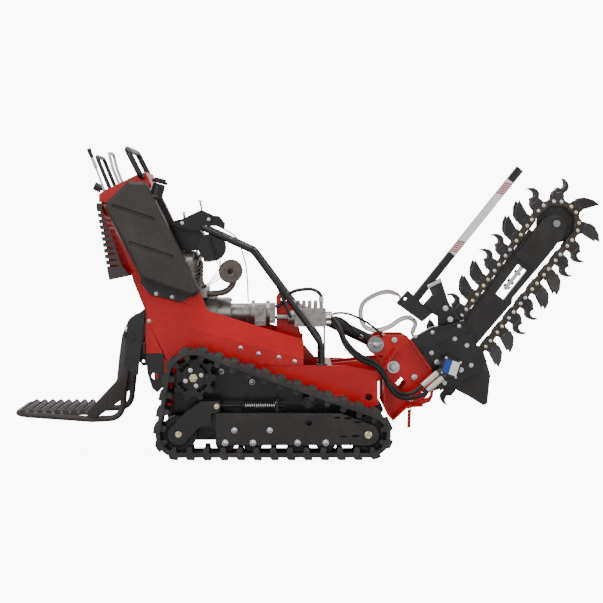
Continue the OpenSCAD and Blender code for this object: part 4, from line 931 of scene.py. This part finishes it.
plate = bmesh.new()
slab(plate, tilted([(-33, -30), (33, -30), (33, 33), (-33, 33)], 18), -181.2, -179.8, 0.4, 1)
show("motor_plate", plate, "plain_label", "boom")
strip_plate = bmesh.new()
slab(strip_plate, tilted([(-33, -30), (-2, -30), (-2, 33), (-33, 33)], 18), -181.9, -181.1, 0.2, 1)
show("motor_plate_band", strip_plate, "blue_label", "boom")
flange = bmesh.new()
for x, z in tilted([(-58, 0), (58, 0)], 18):
    hex_bolt(flange, x, -90, z, 9, -1)
for x, z in tilted([(-34, -34), (34, -34), (34, 36), (-34, 36)], 18):
    hex_bolt(flange, x, -180, z, 4.5, -1)
show("motor_bolts", flange, "zinc", "boom")

# %% [markdown]
# The chain slides on a strip along the boom's upper edge, rubbed bright. On the
# edge of the flange of the beam over the head lies a thin bright steel strip: a
# painted highlight where that edge catches the light.

# %% Wear strip and painted highlight on the beam
strip_part = bmesh.new()
slab(strip_part, [on_boom(106, 48), on_boom(716, 64), on_boom(716, 79), on_boom(106, 64)],
     -20, 20, 1.5)
slab(strip_part, [on_boom(110, 58), on_boom(716, 73), on_boom(716, 77), on_boom(110, 62)],
     -24, -19.5, 0.8, 1)
show("boom_wear_strip", strip_part, "boom_steel", "boom")
# A thin strip of bright spring steel along the flange's edge: a painted highlight.
painted_beam_highlight = bmesh.new()
slab(painted_beam_highlight, [(548, 500.5), (640, 552.5), (785, 583.4), (785, 587), (640, 556.5), (547, 505)],
     -97, -76.2, 0.8, 1)
show("painted_beam_highlight", painted_beam_highlight, "spring_steel", "boom")

# %% Safety bar
BAR_FOOT, BAR_TIP = Vector((590, 712)), Vector((1034, 1268))
bar_along = (BAR_TIP - BAR_FOOT).normalized()
bar_across = Vector((-bar_along.y, bar_along.x))


def on_bar(u, v):
    """Layout (x, z) of a point u up the safety bar and v across it."""
    p = BAR_FOOT + bar_along * u + bar_across * v
    return p.x, p.y


bar_part = bmesh.new()
slab(bar_part, [on_bar(-40, -18), on_bar(711, -18), on_bar(711, 18), on_bar(-40, 18)],
     -104, -68, 3)
slab(bar_part, [(627, 730), (678, 778), (714, 667), (765, 589), (764, 579.4), (667, 558.6),
                (663, 645)], -98, -74, 2)
slab(bar_part, [(640.3, 616.3), (600.3, 655.8), (640, 700), (668, 690), (668, 600)], -94, -78, 2)
show("chain_side_bar", bar_part, "black_paint", "boom", stands_for=["safety_bar"])
BAND = (222, 640)
band = bmesh.new()
slab(band, [on_bar(BAND[0], -17), on_bar(BAND[1], -17), on_bar(BAND[1], 17),
            on_bar(BAND[0], 17)], -104.9, -103.9, 0.3, 1)
show("white_band", band, "plain_label", "boom")
stripes = bmesh.new()
for first in (BAND[0] + 2, BAND[1] - 82):
    for k in range(6):
        u = first + k * 11
        slab(stripes, [on_bar(u + 16, -16.5), on_bar(u + 22, -16.5), on_bar(u + 6, 16.5),
                       on_bar(u, 16.5)], -105.4, -104.8)
show("band_stripes", stripes, "red_pin", "boom")
clamp = bmesh.new()
slab(clamp, [(622, 728), (684, 760), (678, 775), (616, 743)], -108, -64, 1.5)
show("bar_clamp", clamp, "zinc", "boom")

# %% [markdown]
# The strap is flat webbing with a bound edge, looped from the bar's bracket to
# the head. Its line is drawn as a curve and pulled sideways into a band.

# %% Strap
STRAP = [(499.5, 686.9), (480, 704), (436, 714), (380, 698), (330, 662), (318, 610), (338, 556),
         (392, 540), (448, 556), (500, 590), (540, 596), (566, 572), (556, 540), (552.2, 522.3),
         (559.9, 508.7)]


def catmull(points, steps):
    """A smooth line through points."""
    line = []
    for k in range(len(points) - 1):
        a, b, c, d = (Vector(points[min(max(k + n, 0), len(points) - 1)]) for n in (-1, 0, 1, 2))
        for t in (n / steps for n in range(steps)):
            line.append(0.5 * ((2 * b) + (c - a) * t + (2 * a - 5 * b + 4 * c - d) * t * t
                               + (3 * b - a - 3 * c + d) * t ** 3))
    return line + [Vector(points[-1])]


strap_line = catmull(STRAP, 6)
LAST = len(strap_line) - 1


def on_strap(k, across):
    """A layout point of the strap: it lies flat at its ends and turns its face out between."""
    a, b = strap_line[max(k - 1, 0)], strap_line[min(k + 1, LAST)]
    way = (b - a).normalized()
    turn = math.radians(58) * min(1, k / 10, (LAST - k) / 10)
    lift, side = across * math.sin(turn), across * math.cos(turn)
    p = strap_line[k]
    return p.x - way.y * lift, -87 + side, p.y + way.x * lift


band = bmesh.new()
bmesh.ops.create_grid(band, x_segments=LAST, y_segments=4, size=1)
for v in band.verts:
    v.co = at(*on_strap(round((v.co.x + 1) / 2 * LAST), v.co.y * 10))
bmesh.ops.solidify(band, geom=band.faces[:], thickness=2.4 * MM)
show("hand_strap", band, "webbing", "boom", stands_for=["guard_strap"], angle=60)
binding = bmesh.new()
for edge in (-10, 10):
    tube(binding, [on_strap(k, edge) for k in range(LAST + 1)], 2.1, curved=False, sides=1)
show("strap_binding", binding, "knob_plastic", "boom")
buckle = bmesh.new()
for x, z in ((500, 688), (548, 594)):
    slab(buckle, [(x - 9, z - 5), (x + 9, z - 5), (x + 9, z + 5), (x - 9, z + 5)], -101, -74, 1.2)
show("strap_buckles", buckle, "zinc", "boom")
print("strap length", round(sum((a - b).length for a, b in zip(strap_line, strap_line[1:]))), "mm")

# %% [markdown]
# The engine wants small things on it: covers and bolts on the cylinder heads,
# plug leads, a carburettor with its bowl under the air cleaner, a seam round
# the silencer, and wires.

# %% Engine details
covers = bmesh.new()
for sign in SIDES.values():
    bar(covers, (-466, sign * 141, 862), (-466, sign * 150, 882), 50, 44, sides=8, edge=4)
    for k in range(6):
        a = math.radians(60 * k + 30)
        u, w = 40 * math.cos(a), 40 * math.sin(a)
        bar(covers, (-466 + u, sign * (150 - w * 0.9), 880 + w * 0.42),
            (-466 + u, sign * (153.5 - w * 0.9), 888 + w * 0.42), 5, sides=6)
spun(covers, [(0, -20), (13, -20), (17, -16), (18, -4), (22, -2), (22, 6), (0, 6)],
     (-372, -96, 868), (0, 0, 1), 24)
slab(covers, [(-398, 872), (-348, 872), (-348, 896), (-398, 896)], -118, -74, 4)
bar(covers, (-60, -105, 600), (-10, -105, 600), 12, sides=6, edge=1)
for x, z in ((-150, 640), (-120, 640), (-150, 578), (-120, 578), (-84, 640), (-84, 584)):
    hex_bolt(covers, x, -78 if x < -100 else -70, z, 6, -1)
for k in range(8):
    a = math.radians(45 * k + 20)
    bar(covers, (-276, 66 * math.cos(a), 612 + 66 * math.sin(a)),
        (-264, 66 * math.cos(a), 612 + 66 * math.sin(a)), 6, sides=6)
for x in (36, 62, 88, 114, 140):
    spun(covers, [(0, 9), (6, 9), (7, 8), (7, 2), (12, 1.5), (12, 0.3), (0, 0.3)],
         (x, -105, 667.6), (0, 0, 1), 6)
for x, z in ((32, 574), (148, 574), (32, 626), (148, 626)):
    hex_bolt(covers, x, -150, z, 6, -1)
show("engine_fittings", covers, "engine_metal", "chassis")

leads = bmesh.new()
for sign in SIDES.values():
    tube(leads, [(-430, sign * 146, 858), (-404, sign * 160, 876), (-392, sign * 150, 920),
                 (-410, sign * 100, 948)], 3.6, sides=2)
    bar(leads, (-436, sign * 142, 852), (-420, sign * 154, 868), 8, 6)
for k in range(3):
    tube(leads, [(-352 - k * 4, -172, 960 - k * 8), (-330, -176, 900 - k * 18),
                 (-310, -150, 850 - k * 30), (-344, -120, 780 - k * 12),
                 (-410, -152.5, 720)], 2.2, sides=1)
tube(leads, [(-300, -164, 1000), (-240, -176, 960), (-210, -150, 880), (-196, -60, 800),
             (-190, -40, 665)], 3, sides=2)
show("engine_leads", leads, "hose_rubber", "chassis")

silencer = bmesh.new()
for y in (-183, -66):
    spun(silencer, [(47, -3), (51, -3), (52, -1.5), (52, 1.5), (51, 3), (47, 3), (47, -3)],
         (-266, y, 808), (0, 1, 0), 40)
spun(silencer, [(12.2, 0.2), (24, 0.2), (25, 1.4), (24, 2.6), (14, 2.6), (12.2, 1.4), (12.2, 0.2)],
     (-266, -190, 808), (0, -1, 0), 32)
show("silencer_bands", silencer, "exhaust", "chassis")

cleaner = bmesh.new()
spun(cleaner, [(0, 9), (4, 9), (5, 7), (11, 3), (11, 0), (0, 0)], (-402, -140, 1118), (0, 0, 1), 6)
spun(cleaner, [(0, 12), (5, 12), (6, 10), (6, 2), (15, 1), (15, 0), (0, 0)], (-472.6, -140, 1064),
     (0, 0, 1), 24)
for x, z in ((-480, 1024), (-362, 1040), (-376, 1006)):
    hex_bolt(cleaner, x, -172, z, 6, -1)
show("cleaner_bolts", cleaner, "zinc", "chassis")

# %% [markdown]
# The red side panels carry on upwards as gussets and uprights that hold the
# tanks and the guard. They are flat flame-cut plates with a small chamfer.

# %% Gussets and uprights
gussets = bmesh.new()
slab(gussets, [(-634, 566), (-662, 780), (-640, 797), (-401, 716), (-364, 628), (-392, 566)],
     181, 184.5, 1)
slab(gussets, [(-604, 560), (-640, 798), (-756, 1110), (-834, 1110), (-842, 1082), (-790, 780),
               (-703, 797), (-698, 770), (-630, 606)], 180.3, 183, 0.8)
mirrored(gussets)
show("red_gussets", gussets, "red_paint", "chassis")
gusset_bolts = bmesh.new()
for sign in SIDES.values():
    for x, z in ((-594, 710), (-523, 696), (-600, 775)):
        dome_bolt(gusset_bolts, x, sign * (204 if x > -600 else 187), z, 9, sign)
    dome_bolt(gusset_bolts, -626, sign * 217, 590, 9, sign)
show("gusset_bolts", gusset_bolts, "zinc", "chassis")

# %% Filler neck, cylinder gland and two hex heads
neck = bmesh.new()
spun(neck, [(0, -2), (31, -2), (33, 4)] + [(27 + 1.6 * (n % 2), 14 + n * 5) for n in range(9)]
     + [(26, 62), (0, 62)], (-590, -254, 1134), Vector((18, 0, 66)).normalized(), 32)
show("filler_neck", neck, "knob_plastic", "chassis")
gland = bmesh.new()
ROD_PIN = (386 - 460 * math.cos(math.radians(25.8)), 477 + 460 * math.sin(math.radians(25.8)))


def on_lift(d):
    a = math.radians(25.8)
    return ROD_PIN[0] + d * math.cos(a), 0, ROD_PIN[1] - d * math.sin(a)


spun(gland, [(15.3, 0), (22, 0), (23.5, 1.5), (23.5, 12), (28.4, 13), (28.4, 19), (27.2, 20),
             (15.3, 20), (15.3, 0)], on_lift(188),
     (Vector(on_lift(200)) - Vector(on_lift(188))).normalized(), 40)
for d in (214, 390):
    x, _, z = on_lift(d)
    bar(gland, (x, -41, z), (x, -30, z), 11, sides=6, edge=1)
show("cylinder_gland", gland, "zinc", "barrel")

# %% [markdown]
# Last come the bolts of the tower and the head. They go on both sides, since
# the plates are the same, apart from the few on the near side's bar and beam.

# %% Head and tower bolts
tower_bolts = bmesh.new()
for sign in SIDES.values():
    for x, z in ((470, 498), (560, 330), (545, 232)):
        hex_bolt(tower_bolts, x, sign * 109, z, 10, sign)
    for dx in (-24, 24):
        hex_bolt(tower_bolts, 386 + dx, sign * 114, 477, 8.5, sign)
    spun(tower_bolts, [(0, 8), (9, 8), (12, 6), (13, 1), (13, 0), (0, 0)], (386, sign * 120.5, 477),
         (0, sign, 0), 24)
    hex_bolt(tower_bolts, 466, sign * 109.5, 375, 22, sign, 9)
    for x, z in ((622, 300), (640, 436), (745, 500), (800, 470), (820, 380), (700, 300)):
        hex_bolt(tower_bolts, x, sign * 76, z, 8, sign)
for x, z in ((700, 640), (722, 590)):
    hex_bolt(tower_bolts, x, -103.5, z, 10, -1)
for x, z in ((565, 512), (640, 532), (760, 560)):
    dome_bolt(tower_bolts, x, -119 if x > 600 else -96, z, 9, -1)
show("tower_bolts", tower_bolts, "zinc", "boom")

# %% [markdown]
# The record says which material slot each hard part has. This table says which
# parts wear which finish; the parts that are modelled again further down take
# theirs there.

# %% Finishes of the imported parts
WEARS = {
    "red_paint": "main_frame side_panel_* control_console boom_carrier",
    "red_pin": "lock_pin",
    "black_paint": "engine_guard handlebar engine_cover track_frame_* rear_brackets lift_barrel "
                   "head_frame safety_bar idler_arm_* boom_lever digging_motor bumper_block",
    "plate_black": "track_plate_* dirt_shield",
    "platform_grey": "platform operator_guard",
    "tank_plastic": "tank_*",
    "knob_plastic": "filler_cap air_cleaner",
    "engine_metal": "engine_block hydraulic_pump control_valve",
    "exhaust": "muffler",
    "hose_rubber": "chassis_hoses head_hoses",
    "dull_zinc": "head_bolts",
    "zinc": "frame_bolts tension_adjuster travel_lever throttle_lever",
    "track_rubber": "track_belt_*",
    "spring_steel": "tension_spring_*",
    "wheel_steel": "drive_motors drive_sprocket_* rear_idler_* front_idler_* track_rollers_* "
                   "nose_roller chain_sprocket",
    "chrome_rod": "lift_rod",
    "boom_steel": "boom_bar",
    "chain_steel": "digging_chain",
    "tooth_steel": "digging_teeth",
    "webbing": "guard_strap",
}
unfinished = set(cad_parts)
for finish, names in WEARS.items():
    for name in names.split():
        for node in {name.replace("*", side) for side in SIDES}:
            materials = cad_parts[node].data.materials
            materials.clear()
            materials.append(FINISHES[finish])
            unfinished.discard(node)
print("parts with no finish:", sorted(unfinished))
